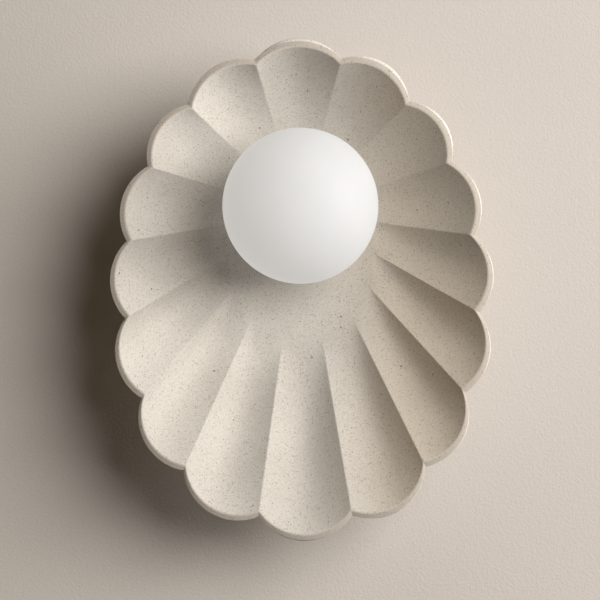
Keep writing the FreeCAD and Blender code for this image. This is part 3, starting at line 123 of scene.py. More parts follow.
shellSizes = {
    "rimHalfWidth": 114.5 * mm,      # curve through the outer notches
    "rimTop": 150.1 * mm,
    "rimBottom": 152.3 * mm,
    "rimCentreDrop": 50.8 * mm,
    "lowerFullness": 2.2,
    "ridgeDegrees": (16.5, 47.0, 74.5, 100.5, 121.75, 139.5, 155.25, 171.4),
    "lobeRise": 0.205,               # rise of a lobe over its chord
    "bottomLobeRise": 0.26,
    "floorThickness": 9 * mm,
    "floorShare": 0.3,
    "bowlCurve": 1.7,
    "fluteStart": 0.46,
    "lowFluteGrowth": 0.65,          # the lower flutes deepen sooner than the upper ones
    "fluteFullness": 0.9,            # and are scooped wider than the rim's own lobes
    "valley": 0.75,                  # how far a flute is a rounded valley and not an arc
    "valleyFade": 6,                 # power by which the valley turns back into an arc at the rim
    "valleyRound": 0.45,             # width of the valley's round bottom
    "ridgeLift": 4 * mm,             # how far the lower ridges stand out, half-way up the bowl
    "lipWidth": 4 * mm,
    "lipFlat": 1.2 * mm,
    "lipFall": 1.0 * mm,             # how far the lip falls to its outer edge
    "wallBackStep": 5 * mm,          # from the rim down to where the outer wall starts
    "lipTurn": (0.6, 0.85),          # the lip's last two rows, as shares of that step
    "rimRoll": 0.625,                # how full the outer wall stays behind the lip
    "rimRollPower": 6,
    "lobeSwell": 1.4 * mm,           # each lobe's wall swells out behind its lip
    "topLobeSwell": 1.6 * mm,        # added towards the top lobe
    "leftSwell": 0.4,                # the swell's share on the lobes that face left
    "leftFrom": -0.1,                # sine of the direction past which a lobe faces left
    "seamWidth": 0.7 * mm,           # a fine groove between lip and wall
    "seamDepth": 0.3 * mm,
    "swellBand": 0.06,               # lip to the fullest line, as a share of the bowl's depth
    "bossRadius": 48 * mm,
    "bossBlend": 2.5 * mm,           # softness of the boss's root
    "bossRound": 0.6 * mm,           # the boss's bevel at the canopy
    "hubHole": 6 * mm,
    "wear": 0.7,                     # how strongly the ridges are worn round
    "wearBand": 0.2,                 # over this share of a lobe next to its notches
    "wearPasses": 4,
    "stillRows": (6, 4),             # first and last rows, round the hub hole, that aren't worn
    "lobeSteps": 26,                 # mesh columns in a lobe
    "floorRows": 13,
    "bowlSteps": 96,
    "lastBowlRow": 0.997,            # close to 1, so that the lip has a crisp inner edge
    "lipRows": 12,
    "wallSteps": 60,
    "wallSpacing": 1.7,              # power that draws the wall's rows towards the lip
    "stepRows": 7,
    "bossRows": 5,
    "backRows": 12,
    "holeRows": 3,
    "insideFade": 3,                 # rows over which the bowl's painted shade tone ends at the lip
    # rows, counted from the lip's first, where a share starts to rise, is full, starts to fade and ends;
    # the outer wall's band behind the lip takes a painted highlight and the groove's seam a painted shade
    # line
    "rowBands": {"lip": (-1, 0, 9, 11), "band": (10, 12, 26, 32), "shadedSeam": (13, 15.5, 15.5, 18)},
}


def rimReach(angles, size):
    # distance from the lamp axis to abs(x / a)^n + abs(y / b)^n = 1 about the rim's centre, by halving
    near = np.zeros_like(angles)
    far = np.full_like(angles, 4 * size["rimTop"])
    for step in range(50):
        reach = (near + far) / 2
        across = np.abs(reach * np.sin(angles)) / size["rimHalfWidth"]
        rise = reach * np.cos(angles) + size["rimCentreDrop"]
        up = np.abs(rise) / np.where(rise > 0, size["rimTop"], size["rimBottom"])
        power = np.where(rise > 0, 2.0, size["lowerFullness"])
        inside = across ** power + up ** power < 1
        near = np.where(inside, reach, near)
        far = np.where(inside, far, reach)
    return near


def lobeTable(size):
    # Direction and reach of every notch, and direction, smooth reach and peak reach of every lobe,
    # with how far it faces up, 1 to -1. A peak stands on the middle of its chord, out by the share
    # r + (s - r) max(0, -upness)^4 of the chord's length.
    right = np.radians(size["ridgeDegrees"])
    notchAngle = np.concatenate([right, 2 * np.pi - right[::-1]])
    notchReach = rimReach(notchAngle, size)
    start = notchReach[:, None] * np.stack([np.sin(notchAngle), np.cos(notchAngle)], 1)
    end = np.roll(start, -1, 0)
    chord = end - start
    outward = np.stack([-chord[:, 1], chord[:, 0]], 1)
    upness = np.cos((notchAngle + np.append(notchAngle[1:], notchAngle[0] + 2 * np.pi)) / 2)
    rise = size["lobeRise"] + (size["bottomLobeRise"] - size["lobeRise"]) * np.maximum(0, -upness) ** 4
    peak = (start + end) / 2 + outward * rise[:, None]
    peakAngle = np.arctan2(peak[:, 0], peak[:, 1])
    return notchAngle, notchReach, peakAngle, rimReach(peakAngle, size), np.hypot(*peak.T), upness


def lowness(upness):
    # ((1 - upness) / 2)^2: 0 for a lobe that faces straight up and 1 for one that faces straight down
    return ((1 - upness) / 2) ** 2


def alongFlute(share, size):
    # (share - a) / (1 - a): 0 where the flutes start, 1 at the rim and below 0 on the plain floor
    return (share - size["fluteStart"]) / (1 - size["fluteStart"])


def arcSteps(size):
    # s = (1 - cos(pi t)) / 2 for even steps t, so that points along an arc stand closer near its notches
    return (1 - np.cos(np.pi * np.arange(size["lobeSteps"]) / size["lobeSteps"])) / 2


def lobeOutlines(table, share, expand, size, swell=0.0, valley=0.0):
    # One outline per level: sixteen arcs, each through a notch a, a peak p and the next notch b.
    # A lobe's bulge grows along the flute: x at the top and sin(90 degrees x^q) (1 + f (1 - x)) at the
    # bottom, where x runs from 0 at the flute's start to 1 at the rim. swell, 0 to 1, adds the lobe's own
    # swelling. valley blends an arc towards a + (b - a) s + (p - middle) h, where k = 2 s - 1 and
    # h = 1 - (sqrt(k^2 + c^2) - c) / (sqrt(1 + c^2) - c).
    notchAngle, notchReach, peakAngle, smoothReach, peakReach, upness = table
    along = np.maximum(0, alongFlute(share, size))[:, None]
    low = lowness(upness)
    scoop = np.sin(np.pi / 2 * np.minimum(1, along) ** size["lowFluteGrowth"])
    growth = (1 - low) * along + low * scoop * (1 + size["fluteFullness"] * np.maximum(0, 1 - along))
    swelling = size["lobeSwell"] + size["topLobeSwell"] * np.maximum(0, upness)
    swelling = swelling * np.where(np.sin(peakAngle) < size["leftFrom"], size["leftSwell"], 1)
    notch = notchReach * share[:, None] + expand[:, None]
    peak = smoothReach * share[:, None] + (peakReach - smoothReach) * growth + expand[:, None]
    peak = peak + swelling * np.broadcast_to(swell, share.shape)[:, None]
    a = notch[..., None] * np.stack([np.sin(notchAngle), np.cos(notchAngle)], 1)
    p = peak[..., None] * np.stack([np.sin(peakAngle), np.cos(peakAngle)], 1)
    b = np.roll(a, -1, 1)
    # the circle through a, p and b: with w = v uu - u vv turned clockwise by 90 degrees, its centre is
    # a + w / (2 u x v)
    u = p - a
    v = b - a
    doubleCross = 2 * (u[..., 0] * v[..., 1] - u[..., 1] * v[..., 0])
    uu = (u ** 2).sum(-1)
    vv = (v ** 2).sum(-1)
    centre = a + np.stack([v[..., 1] * uu - u[..., 1] * vv, u[..., 0] * vv - v[..., 0] * uu],
                          -1) / doubleCross[..., None]
    fromA = a - centre
    fromB = b - centre
    radius = np.hypot(fromA[..., 0], fromA[..., 1])
    startAngle = np.arctan2(fromA[..., 1], fromA[..., 0])
    sweep = -((startAngle - np.arctan2(fromB[..., 1], fromB[..., 0])) % (2 * np.pi))
    across = arcSteps(size)
    turn = startAngle[..., None] + sweep[..., None] * across
    outline = centre[:, :, None] + radius[..., None, None] * np.stack([np.cos(turn), np.sin(turn)], -1)
    soft = size["valleyRound"]
    height = 1 - (np.sqrt((2 * across - 1) ** 2 + soft ** 2) - soft) / (math.sqrt(1 + soft ** 2) - soft)
    middle = p - (a + b) / 2
    trough = a[:, :, None] + v[:, :, None] * across[:, None] + middle[:, :, None] * height[:, None]
    blend = np.broadcast_to(valley, share.shape)[:, None, None, None]
    outline = outline + blend * (trough - outline)
    return outline.reshape(len(share), -1, 2)


def atDistance(flat, distance):
    # outlines in the wall's plane, lifted to their distances from the wall, one per level or per point
    distance = np.asarray(distance)
    out = np.broadcast_to(distance if distance.ndim == 2 else distance[:, None], flat.shape[:2])
    return np.stack([flat[..., 0], -out, flat[..., 1]], -1)


def ridgeLift(table, share, size):
    # l w sin(pi x) (1 - sin(pi s)) at each point: x along the flutes, s across a lobe and w the ridge's
    # lowness, the mean of its two lobes'
    along = np.clip(alongFlute(share, size), 0, 1)
    across = arcSteps(size)
    low = lowness(table[5])
    start = (np.roll(low, 1) + low) / 2
    end = np.roll(start, -1)
    crest = (start[:, None] * (1 - across) + end[:, None] * across) * (1 - np.sin(np.pi * across))
    return size["ridgeLift"] * np.sin(np.pi * along)[:, None] * crest.reshape(-1)


def rowBand(past, rise, full, fade, end):
    # 0 before rise, 1 from full to fade and 0 after end, with straight slopes between them
    return np.clip((past - rise) / (full - rise), 0, 1) * np.clip((end - past) / (end - fade), 0, 1)


def makeShell(size):
    # Rows run over the floor, up the fluted bowl, over the lip, down the outer wall, over the boss
    # and back through the hub hole: share = a + (1 - a) u and height = depth u^p along the bowl.
    low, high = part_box("shell")
    rim = -low.y
    back = -high.y
    floor = back + size["floorThickness"]
    depth = rim - floor
    table = lobeTable(size)
    u = np.append(np.linspace(0, 1, size["bowlSteps"] - 1)[:-1], [size["lastBowlRow"], 1])
    bowlShare = size["floorShare"] + (1 - size["floorShare"]) * u
    valley = size["valley"] * (1 - u ** size["valleyFade"])
    bowl = lobeOutlines(table, bowlShare, np.full_like(u, -size["lipWidth"]), size, valley=valley)
    bowlOut = (floor + depth * u ** size["bowlCurve"])[:, None] + ridgeLift(table, bowlShare, size)
    direction = bowl[0] / np.linalg.norm(bowl[0], axis=1, keepdims=True)
    outward = np.linspace(0, 1, size["floorRows"] + 1)[:-1, None, None]
    floorRows = (1 - outward) * size["hubHole"] * direction + outward * bowl[0]
    # the lip falls evenly outwards from its crest, and turns down at its outer edge
    over = np.linspace(0, 1, size["lipRows"])
    crest = (size["lipFlat"] - size["lipWidth"]) * (1 - over)
    lipTurn = np.array(size["lipTurn"])
    lipExpand = np.append(crest, np.zeros_like(lipTurn))
    lip = lobeOutlines(table, np.ones_like(lipExpand), lipExpand, size)
    lipOut = rim - np.append(size["lipFall"] * over, lipTurn * size["wallBackStep"])
    # the outer wall follows the bowl, fuller behind the lip by c v^q (1 - v) and swollen at each lobe
    # by t exp(1 - t), where v is the height's share of the depth and t = (1 - v) / band; a groove
    # runs right behind the lip, exp(-(distance / width)^2) of its full depth
    v = 1 - np.linspace(0, 1, size["wallSteps"]) ** size["wallSpacing"]
    fuller = size["rimRoll"] * v ** size["rimRollPower"] * (1 - v)
    wallShare = size["floorShare"] + (1 - size["floorShare"]) * (v ** (1 / size["bowlCurve"]) + fuller)
    below = (1 - v) / size["swellBand"]
    shadedSeam = np.exp(-(depth * (1 - v) / size["seamWidth"]) ** 2)
    wall = lobeOutlines(table, wallShare, -size["seamDepth"] * shadedSeam, size, below * np.exp(1 - below))
    wallOut = floor + depth * v - size["wallBackStep"]
    # the boss widens the wall near the canopy, by a soft maximum of the two radii:
    # (r + b + sqrt((r - b)^2 + e^2 (1 - f))) / 2, where f grows from 0 at the boss to 1 and
    # b is the boss's radius times 1 - f^2
    reach = np.linalg.norm(wall, axis=-1, keepdims=True)
    fade = np.clip((wallOut - floor) / size["floorThickness"], 0, 1)[:, None, None]
    boss = size["bossRadius"] * (1 - fade ** 2)
    blend = size["bossBlend"]
    wider = (reach + boss + np.sqrt((reach - boss) ** 2 + blend ** 2 * (1 - fade))) / 2
    wall = wall * wider / reach
    lastReach = np.linalg.norm(wall[-1], axis=1, keepdims=True)
    towardBoss = np.linspace(0, 1, size["stepRows"] + 1)[1:, None, None]
    stepRows = direction * (lastReach * (1 - towardBoss) + size["bossRadius"] * towardBoss)
    bossOut = np.linspace(wallOut[-1], back + size["bossRound"], size["bossRows"] + 1)[1:]
    bossRows = np.broadcast_to(direction * size["bossRadius"], (size["bossRows"],) + direction.shape)
    inward = np.linspace(0, 1, size["backRows"])[:, None, None]
    backReach = (size["bossRadius"] - size["bossRound"]) * (1 - inward) + size["hubHole"] * inward
    holeOut = np.linspace(back, floor, size["holeRows"] + 2)[1:-1]
    holeRows = np.broadcast_to(direction * size["hubHole"], (size["holeRows"],) + direction.shape)
    points = np.concatenate([
        atDistance(floorRows, np.full(size["floorRows"], floor)),
        atDistance(bowl, bowlOut),
        atDistance(lip, lipOut),
        atDistance(wall, wallOut),
        atDistance(stepRows, np.full(size["stepRows"], wallOut[-1])),
        atDistance(bossRows, bossOut),
        atDistance(direction * backReach, np.full(size["backRows"], back)),
        atDistance(holeRows, holeOut),
    ])
    # the ridges are worn round by a hair; the weight grows from 0 to full towards a notch
    nearNotch = np.abs(np.arange(size["lobeSteps"]) / size["lobeSteps"] - 0.5) * 2
    worn = np.clip((nearNotch - (1 - size["wearBand"])) / size["wearBand"], 0, 1)
    weight = np.tile(worn * size["wear"], (len(points), len(table[0])))
    firstStill, lastStill = size["stillRows"]
    weight[:firstStill] = 0
    weight[-lastStill:] = 0
    points = relax(points, weight, size["wearPasses"])
    shell = meshFrom(points.reshape(-1, 3), gridQuads(*points.shape[:2], True), "shell_body")
    past = np.arange(len(points)) - size["floorRows"] - size["bowlSteps"]
    # the inside share keeps the painted shade within the bowl
    shares = {"inside": np.clip(-past / size["insideFade"], 0, 1)}
    # the row bands carry the lip's darker tone, a painted highlight on the band behind it and a painted
    # shade line in the seam
    for name, band in size["rowBands"].items():
        shares[name] = rowBand(past, *band)
    for name, shareOfRow in shares.items():
        addShare(shell, name, np.repeat(shareOfRow, points.shape[1]))
    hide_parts("shell")
    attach(shell, "fixed")
    return shell


shell = makeShell(shellSizes)
print("shell made", len(shell.data.polygons))

# ---------- the globe ----------

globeSizes = {
    "radius": 50 * mm,
    "wall": 3 * mm,
    "neckBore": 20.4 * mm,
    "threadPitch": 4 * mm,
    "threadTurns": 1.5,
    "threadHeight": 1.2 * mm,
    "threadRoot": 1.6 * mm,
    "threadCrest": 0.8 * mm,
    "threadStart": 4.5 * mm,      # from the neck's end to the first turn's middle
    "around": 144,
    "ballSteps": 84,
    "neckSteps": 64,
    "outsideSteps": 16,
    "endSteps": 7,
    "cornerReach": 3,             # rows on each side of a corner that are softened
    "cornerPull": 0.6,
    "cornerPasses": 6,
}


def makeGlobe(size):
    # A profile of (radius, distance from the wall) turned round the lamp axis: from the outer pole over
    # the ball and neck to the neck's end, and back inside to the inner pole. The thread is a drop in
    # radius wherever the distance along the neck lies near a turn's middle,
    # start + pitch (turn + angle / 360).
    low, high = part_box("globe")
    front = -low.y
    neckEnd = -high.y
    centre = front - size["radius"]
    neckRadius = size["neckBore"] + size["wall"]
    ballInside = size["radius"] - size["wall"]
    pole = math.pi / 2
    fall = np.linspace(pole, -math.acos(neckRadius / size["radius"]), size["ballSteps"])[1:, None]
    outer = size["radius"] * np.concatenate([np.cos(fall), np.sin(fall)], 1) + (0, centre)
    rise = np.linspace(-math.acos(size["neckBore"] / ballInside), pole, size["ballSteps"])[:-1, None]
    inner = ballInside * np.concatenate([np.cos(rise), np.sin(rise)], 1) + (0, centre)
    down = np.linspace(outer[-1, 1], neckEnd, size["outsideSteps"])[1:-1]
    across = np.linspace(neckRadius, size["neckBore"], size["endSteps"])
    up = np.linspace(neckEnd, inner[0, 1], size["neckSteps"])[1:-1]
    profile = np.concatenate([
        outer,
        np.stack([np.full_like(down, neckRadius), down], 1),
        np.stack([across, np.full_like(across, neckEnd)], 1),
        np.stack([np.full_like(up, size["neckBore"]), up], 1),
        inner,
    ])
    angle = np.linspace(0, 2 * np.pi, size["around"], endpoint=False)
    radius = np.repeat(profile[:, :1], size["around"], 1)
    distance = np.repeat(profile[:, 1:], size["around"], 1)
    first = len(outer) + len(down) + len(across)
    neck = slice(first, first + len(up))
    fromStart = distance[neck] - neckEnd - size["threadStart"]
    turn = np.round(fromStart / size["threadPitch"] - angle / (2 * np.pi)) + angle / (2 * np.pi)
    offset = np.abs(fromStart - np.clip(turn, 0, size["threadTurns"]) * size["threadPitch"])
    offset = np.where((turn < 0) | (turn > size["threadTurns"]), size["threadRoot"], offset)
    flank = (size["threadRoot"] - size["threadCrest"]) / 2
    radius[neck] -= size["threadHeight"] * np.clip((size["threadRoot"] / 2 - offset) / flank, 0, 1)
    corner = np.zeros(len(profile))     # the neck meets the ball in a fillet, and its end is rounded
    for place in (len(outer), len(outer) + len(down), first - 1, first + len(up)):
        corner[place - size["cornerReach"]:place + size["cornerReach"]] = size["cornerPull"]
    for step in range(size["cornerPasses"]):
        radius[1:-1] += corner[1:-1, None] * ((radius[:-2] + radius[2:]) / 2 - radius[1:-1])
        distance[1:-1] += corner[1:-1, None] * ((distance[:-2] + distance[2:]) / 2 - distance[1:-1])
    rings = np.stack([radius * np.sin(angle), -distance, radius * np.cos(angle)], -1).reshape(-1, 3)
    poles = np.array([[0, -front, 0], [0, size["wall"] - front, 0]])
    quads = gridQuads(len(profile), size["around"], False)
    column = np.arange(size["around"])
    following = (column + 1) % size["around"]
    last = (len(profile) - 1) * size["around"]
    outerCap = np.stack([np.full_like(column, len(rings)), following, column], 1)
    innerCap = np.stack([np.full_like(column, len(rings) + 1), last + column, last + following], 1)
    globe = meshFrom(np.concatenate([rings, poles]), quads, "globe_glass", [outerCap, innerCap])
    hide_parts("globe")
    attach(globe, "globe")
    return globe


globe = makeGlobe(globeSizes)
print("globe made", len(globe.data.polygons))

# ---------- materials ----------


cloudRange = (0.3, 0.7)     # the noise values that become 0 and 1


def newMaterial(name):
    # a Principled material, with the place in the piece's own coordinates
    material = bpy.data.materials.new(name)
    material.use_nodes = True
    tree = material.node_tree
    surface = tree.nodes["Principled BSDF"]
    place = tree.nodes.new("ShaderNodeTexCoord").outputs["Object"]
    return material, tree, surface, place


def addNoise(tree, place, size, detail=2.0, roughness=0.5):
    # noise whose features are about the given size across
    noise = tree.nodes.new("ShaderNodeTexNoise")
    noise.inputs["Scale"].default_value = 1 / size
    noise.inputs["Detail"].default_value = detail
    noise.inputs["Roughness"].default_value = roughness
    tree.links.new(place, noise.inputs["Vector"])
    return noise.outputs["Fac"]


def addCells(tree, place, size):
    # cells of about the given size, with the distance to each one's middle and a random colour
    cells = tree.nodes.new("ShaderNodeTexVoronoi")
    cells.inputs["Scale"].default_value = 1 / size
    tree.links.new(place, cells.inputs["Vector"])
    return cells


def addRange(tree, value, low, high, toLow=0.0, toHigh=1.0, smooth=True):
    # low to high becomes toLow to toHigh, along 3 t^2 - 2 t^3 or straight
    span = tree.nodes.new("ShaderNodeMapRange")
    span.interpolation_type = "SMOOTHSTEP" if smooth else "LINEAR"
    span.inputs["From Min"].default_value = low
    span.inputs["From Max"].default_value = high
    span.inputs["To Min"].default_value = toLow
    span.inputs["To Max"].default_value = toHigh
    tree.links.new(value, span.inputs["Value"])
    return span.outputs["Result"]


def addClouds(tree, place, size, detail=2.0):
    # soft clouds between 0 and 1
    return addRange(tree, addNoise(tree, place, size, detail), *cloudRange)


def addMath(tree, operation, first, second):
    # numbers or links
    node = tree.nodes.new("ShaderNodeMath")
    node.operation = operation
    for socket, entry in zip(node.inputs, (first, second)):
        if isinstance(entry, (int, float)):
            socket.default_value = entry
        else:
            tree.links.new(entry, socket)
    return node.outputs["Value"]


def addColourMix(tree, factor, first, second):
    # colours or links, mixed by a link
    mix = tree.nodes.new("ShaderNodeMix")
    mix.data_type = "RGBA"
    inputs = {socket.identifier: socket for socket in mix.inputs}
    outputs = {socket.identifier: socket for socket in mix.outputs}
    tree.links.new(factor, inputs["Factor_Float"])
    for name, entry in (("A_Color", first), ("B_Color", second)):
        if isinstance(entry, tuple):
            inputs[name].default_value = (*entry, 1)
        else:
            tree.links.new(entry, inputs[name])
    return outputs["Result_Color"]


def addBump(tree, surface, height, depth, strength):
    # the surface stands out by up to depth where height is 1
    bump = tree.nodes.new("ShaderNodeBump")
    bump.inputs["Strength"].default_value = strength
    bump.inputs["Distance"].default_value = depth
    tree.links.new(height, bump.inputs["Height"])
    tree.links.new(bump.outputs["Normal"], surface.inputs["Normal"])


def addNamed(tree, name):
    # the piece's own share of that name
    named = tree.nodes.new("ShaderNodeAttribute")
    named.attribute_name = name
    return named.outputs["Fac"]


def addSplit(tree, value, kind="ShaderNodeSeparateColor", into="Color", part="Red"):
    # one part of a colour or of a place
    split = tree.nodes.new(kind)
    tree.links.new(value, split.inputs[into])
    return split.outputs[part]


stonewareLook = {
    "clay": (0.628, 0.600, 0.556),
    "paleClay": (0.670, 0.644, 0.602),
    # painted shade: a browner clay for the bowl's right side, where the shade falls
    "paintedShadeClay": (0.690, 0.612, 0.502),
    "lipClay": (0.54, 0.475, 0.405),
    # painted highlight: the outer wall's band behind the lip is made pale, as where the lamps light it
    "bandClay": (0.86, 0.84, 0.80),
    # painted shade: a dark line in the groove between the lip and the outer wall
    "shadedSeamClay": (0.36, 0.35, 0.30),
    "sand": (0.40, 0.36, 0.30),
    "dot": (0.30, 0.26, 0.205),
    "speck": (0.13, 0.10, 0.075),
    "cloudSize": 45 * mm,
    "cloudBand": (0.35, 0.65),
    "paintedShadeAcross": (10 * mm, 80 * mm),   # the painted shade grows from the first to the second, to the right
    "paintedShadeStrength": 0.8,
    "lipStrength": 0.7,
    "bandStrength": 0.85,
    "shadedSeamStrength": 0.8,
    "sandSize": 1.0 * mm,
    "sandBand": (0.42, 0.70),
    "sandStrength": 0.65,
    "sandDepth": 0.15 * mm,
    "sandBump": 0.5,
    "dotCell": 1.5 * mm,
    "dotRange": (0.2, 1.0, 0.02, 0.34),      # random number low and high, then a dot's radius in cells
    "dotStrength": 0.7,
    "speckCell": 6.5 * mm,
    "speckRange": (0.35, 1.0, 0.0, 0.12),
    "speckStrength": 0.85,
    "raggedSize": 0.5 * mm,                  # unevenness of a speck's edge
    "raggedDepth": 0.03,
    "roughness": 0.82,
    "shine": 0.25,
}


def makeStoneware(look):
    # pale clay with painted shade, browner towards the bowl's right, a painted highlight on the band
    # behind the lip and a painted shade line in its seam, with soft clouds, a fine sandy grain, faint dots
    # and specks
    material, tree, surface, place = newMaterial("stoneware")
    clouds = addRange(tree, addNoise(tree, place, look["cloudSize"], 3), *look["cloudBand"])
    base = addColourMix(tree, clouds, look["clay"], look["paleClay"])
    # painted shade: the clay grows browner towards the right, inside the bowl only
    across = addSplit(tree, place, "ShaderNodeSeparateXYZ", "Vector", "X")
    paintedShade = addRange(tree, across, *look["paintedShadeAcross"], 0, look["paintedShadeStrength"])
    paintedShade = addMath(tree, "MULTIPLY", paintedShade, addNamed(tree, "inside"))
    base = addColourMix(tree, paintedShade, base, look["paintedShadeClay"])
    # the lip's darker tone, a painted highlight on the band behind it and a painted shade line in the seam
    for name in ("lip", "band", "shadedSeam"):
        share = addMath(tree, "MULTIPLY", addNamed(tree, name), look[name + "Strength"])
        base = addColourMix(tree, share, base, look[name + "Clay"])
    sand = addNoise(tree, place, look["sandSize"], 4, 0.75)
    grains = addRange(tree, sand, *look["sandBand"], 0, look["sandStrength"], False)
    base = addColourMix(tree, grains, base, look["sand"])
    dots = addCells(tree, place, look["dotCell"])
    dotSize = addRange(tree, addSplit(tree, dots.outputs["Color"]), *look["dotRange"], False)
    dotMask = addMath(tree, "LESS_THAN", dots.outputs["Distance"], dotSize)
    base = addColourMix(tree, addMath(tree, "MULTIPLY", dotMask, look["dotStrength"]), base, look["dot"])
    specks = addCells(tree, place, look["speckCell"])
    speckSize = addRange(tree, addSplit(tree, specks.outputs["Color"]), *look["speckRange"], False)
    ragged = addMath(tree, "MULTIPLY", addNoise(tree, place, look["raggedSize"]), look["raggedDepth"])
    speckEdge = addMath(tree, "ADD", specks.outputs["Distance"], ragged)
    speckMask = addMath(tree, "LESS_THAN", speckEdge, speckSize)
    specked = addMath(tree, "MULTIPLY", speckMask, look["speckStrength"])
    base = addColourMix(tree, specked, base, look["speck"])
    tree.links.new(base, surface.inputs["Base Color"])
    surface.inputs["Roughness"].default_value = look["roughness"]
    surface.inputs["Specular IOR Level"].default_value = look["shine"]
    addBump(tree, surface, sand, look["sandDepth"], look["sandBump"])
    return material


opalLook = {
    "shade": (0.27, 0.28, 0.30),
    "pale": (0.29, 0.30, 0.32),
    "cloudSize": 30 * mm,
    "roughness": 0.62,
    "shine": 0.3,
    "paintedGlowColour": (1.0, 0.975, 0.93),
    "paintedGlow": 0.50,               # painted glow: emitted light that stands in for the lamps' light that the opal glass passes on
    "satinSize": 0.6 * mm,
    "satinDepth": 0.01 * mm,
    "satinBump": 0.3,
}


def makeOpalGlass(look):
    # white opal glass with a fine satin surface and a painted glow
    material, tree, surface, place = newMaterial("opalGlass")
    clouds = addClouds(tree, place, look["cloudSize"])
    tree.links.new(addColourMix(tree, clouds, look["shade"], look["pale"]), surface.inputs["Base Color"])
    surface.inputs["Roughness"].default_value = look["roughness"]
    surface.inputs["Specular IOR Level"].default_value = look["shine"]
    # painted glow: the glass emits light, in place of the lamps' light scattered through it
    surface.inputs["Emission Color"].default_value = (*look["paintedGlowColour"], 1)
    surface.inputs["Emission Strength"].default_value = look["paintedGlow"]
    addBump(tree, surface, addNoise(tree, place, look["satinSize"]), look["satinDepth"], look["satinBump"])
    return material


coatLook = {
    "shade": (0.60, 0.555, 0.475),
    "pale": (0.64, 0.595, 0.515),
    "cloudSize": 18 * mm,
    "peelSize": 0.8 * mm,
    "peelDepth": 0.05 * mm,
    "peelBump": 0.5,
    "roughness": (0.5, 0.62),
}


def makeCoatedSteel(look):
    # sand-coloured powder coat with a fine orange peel
    material, tree, surface, place = newMaterial("powderCoat")
    clouds = addClouds(tree, place, look["cloudSize"])
    tree.links.new(addColourMix(tree, clouds, look["shade"], look["pale"]), surface.inputs["Base Color"])
    peel = addNoise(tree, place, look["peelSize"])
    tree.links.new(addRange(tree, peel, *cloudRange, *look["roughness"]), surface.inputs["Roughness"])
    addBump(tree, surface, peel, look["peelDepth"], look["peelBump"])
    return material


metalLook = {
    "cloudSize": 6 * mm,
    "roughnessSpread": (-0.06, 0.08),
    "scratchDepth": 0.01 * mm,
    "scratchBump": 0.4,
}


def makeMetal(name, dark, light, roughness, grain=(1, 1, 1), grainSize=0.6 * mm):
    # metal with cloudy tone, fine scratches and uneven roughness
    material, tree, surface, place = newMaterial(name)
    stretch = tree.nodes.new("ShaderNodeMapping")
    stretch.inputs["Scale"].default_value = grain
    tree.links.new(place, stretch.inputs["Vector"])
    clouds = addClouds(tree, place, metalLook["cloudSize"], 3)
    tree.links.new(addColourMix(tree, clouds, dark, light), surface.inputs["Base Color"])
    scratches = addNoise(tree, stretch.outputs["Vector"], grainSize, 3, 0.6)
    surface.inputs["Metallic"].default_value = 1
    least, most = (roughness + spread for spread in metalLook["roughnessSpread"])
    tree.links.new(addRange(tree, scratches, *cloudRange, least, most), surface.inputs["Roughness"])
    addBump(tree, surface, scratches, metalLook["scratchDepth"], metalLook["scratchBump"])
    return material


plasticLook = {
    "cloudSize": 8 * mm,
    "roughnessSpread": (-0.04, 0.05),
    "skinDepth": 0.02 * mm,
    "skinBump": 0.35,
}


def makeSoftPlastic(name, colour, shade, roughness, grainSize=0.5 * mm):
    # moulded or drawn plastic, rubber or glaze with a slight tone change and a fine skin
    material, tree, surface, place = newMaterial(name)
    clouds = addClouds(tree, place, plasticLook["cloudSize"])
    tree.links.new(addColourMix(tree, clouds, colour, shade), surface.inputs["Base Color"])
    skin = addNoise(tree, place, grainSize)
    least, most = (roughness + spread for spread in plasticLook["roughnessSpread"])
    tree.links.new(addRange(tree, skin, *cloudRange, least, most), surface.inputs["Roughness"])
    addBump(tree, surface, skin, plasticLook["skinDepth"], plasticLook["skinBump"])
    return material


feltLook = {
    "shade": (0.10, 0.09, 0.08),
    "pale": (0.22, 0.20, 0.18),
    "fibreSize": 0.35 * mm,
    "fibreBand": (0.35, 0.65),
    "fibreDepth": 0.2 * mm,
    "fibreBump": 0.8,
    "roughness": 0.95,
    "sheen": 0.3,
}


def makeFelt(look):
    # pressed fibres, drawn as fine rough noise
    material, tree, surface, place = newMaterial("feltRing")
    fibres = addNoise(tree, place, look["fibreSize"], 4, 0.7)
    tones = addRange(tree, fibres, *look["fibreBand"])
    tree.links.new(addColourMix(tree, tones, look["shade"], look["pale"]), surface.inputs["Base Color"])
    surface.inputs["Roughness"].default_value = look["roughness"]
    surface.inputs["Sheen Weight"].default_value = look["sheen"]
    addBump(tree, surface, fibres, look["fibreDepth"], look["fibreBump"])
    return material


sleeveLook = {
    "green": (0.06, 0.28, 0.05),
    "yellow": (0.75, 0.62, 0.04),
    "waveScale": 160,             # a wave is 2 pi / (20 x scale) = 2 mm wide
    "stripeEdge": (0.45, 0.55),
    "roughness": 0.4,
}


def makeEarthWire(look):
    # green sleeve with yellow stripes, in waves across the object
    material, tree, surface, place = newMaterial("earthSleeve")
    waves = tree.nodes.new("ShaderNodeTexWave")
    waves.inputs["Scale"].default_value = look["waveScale"]
    tree.links.new(place, waves.inputs["Vector"])
    stripe = addRange(tree, waves.outputs["Fac"], *look["stripeEdge"])
    tree.links.new(addColourMix(tree, stripe, look["green"], look["yellow"]), surface.inputs["Base Color"])
    surface.inputs["Roughness"].default_value = look["roughness"]
    return material


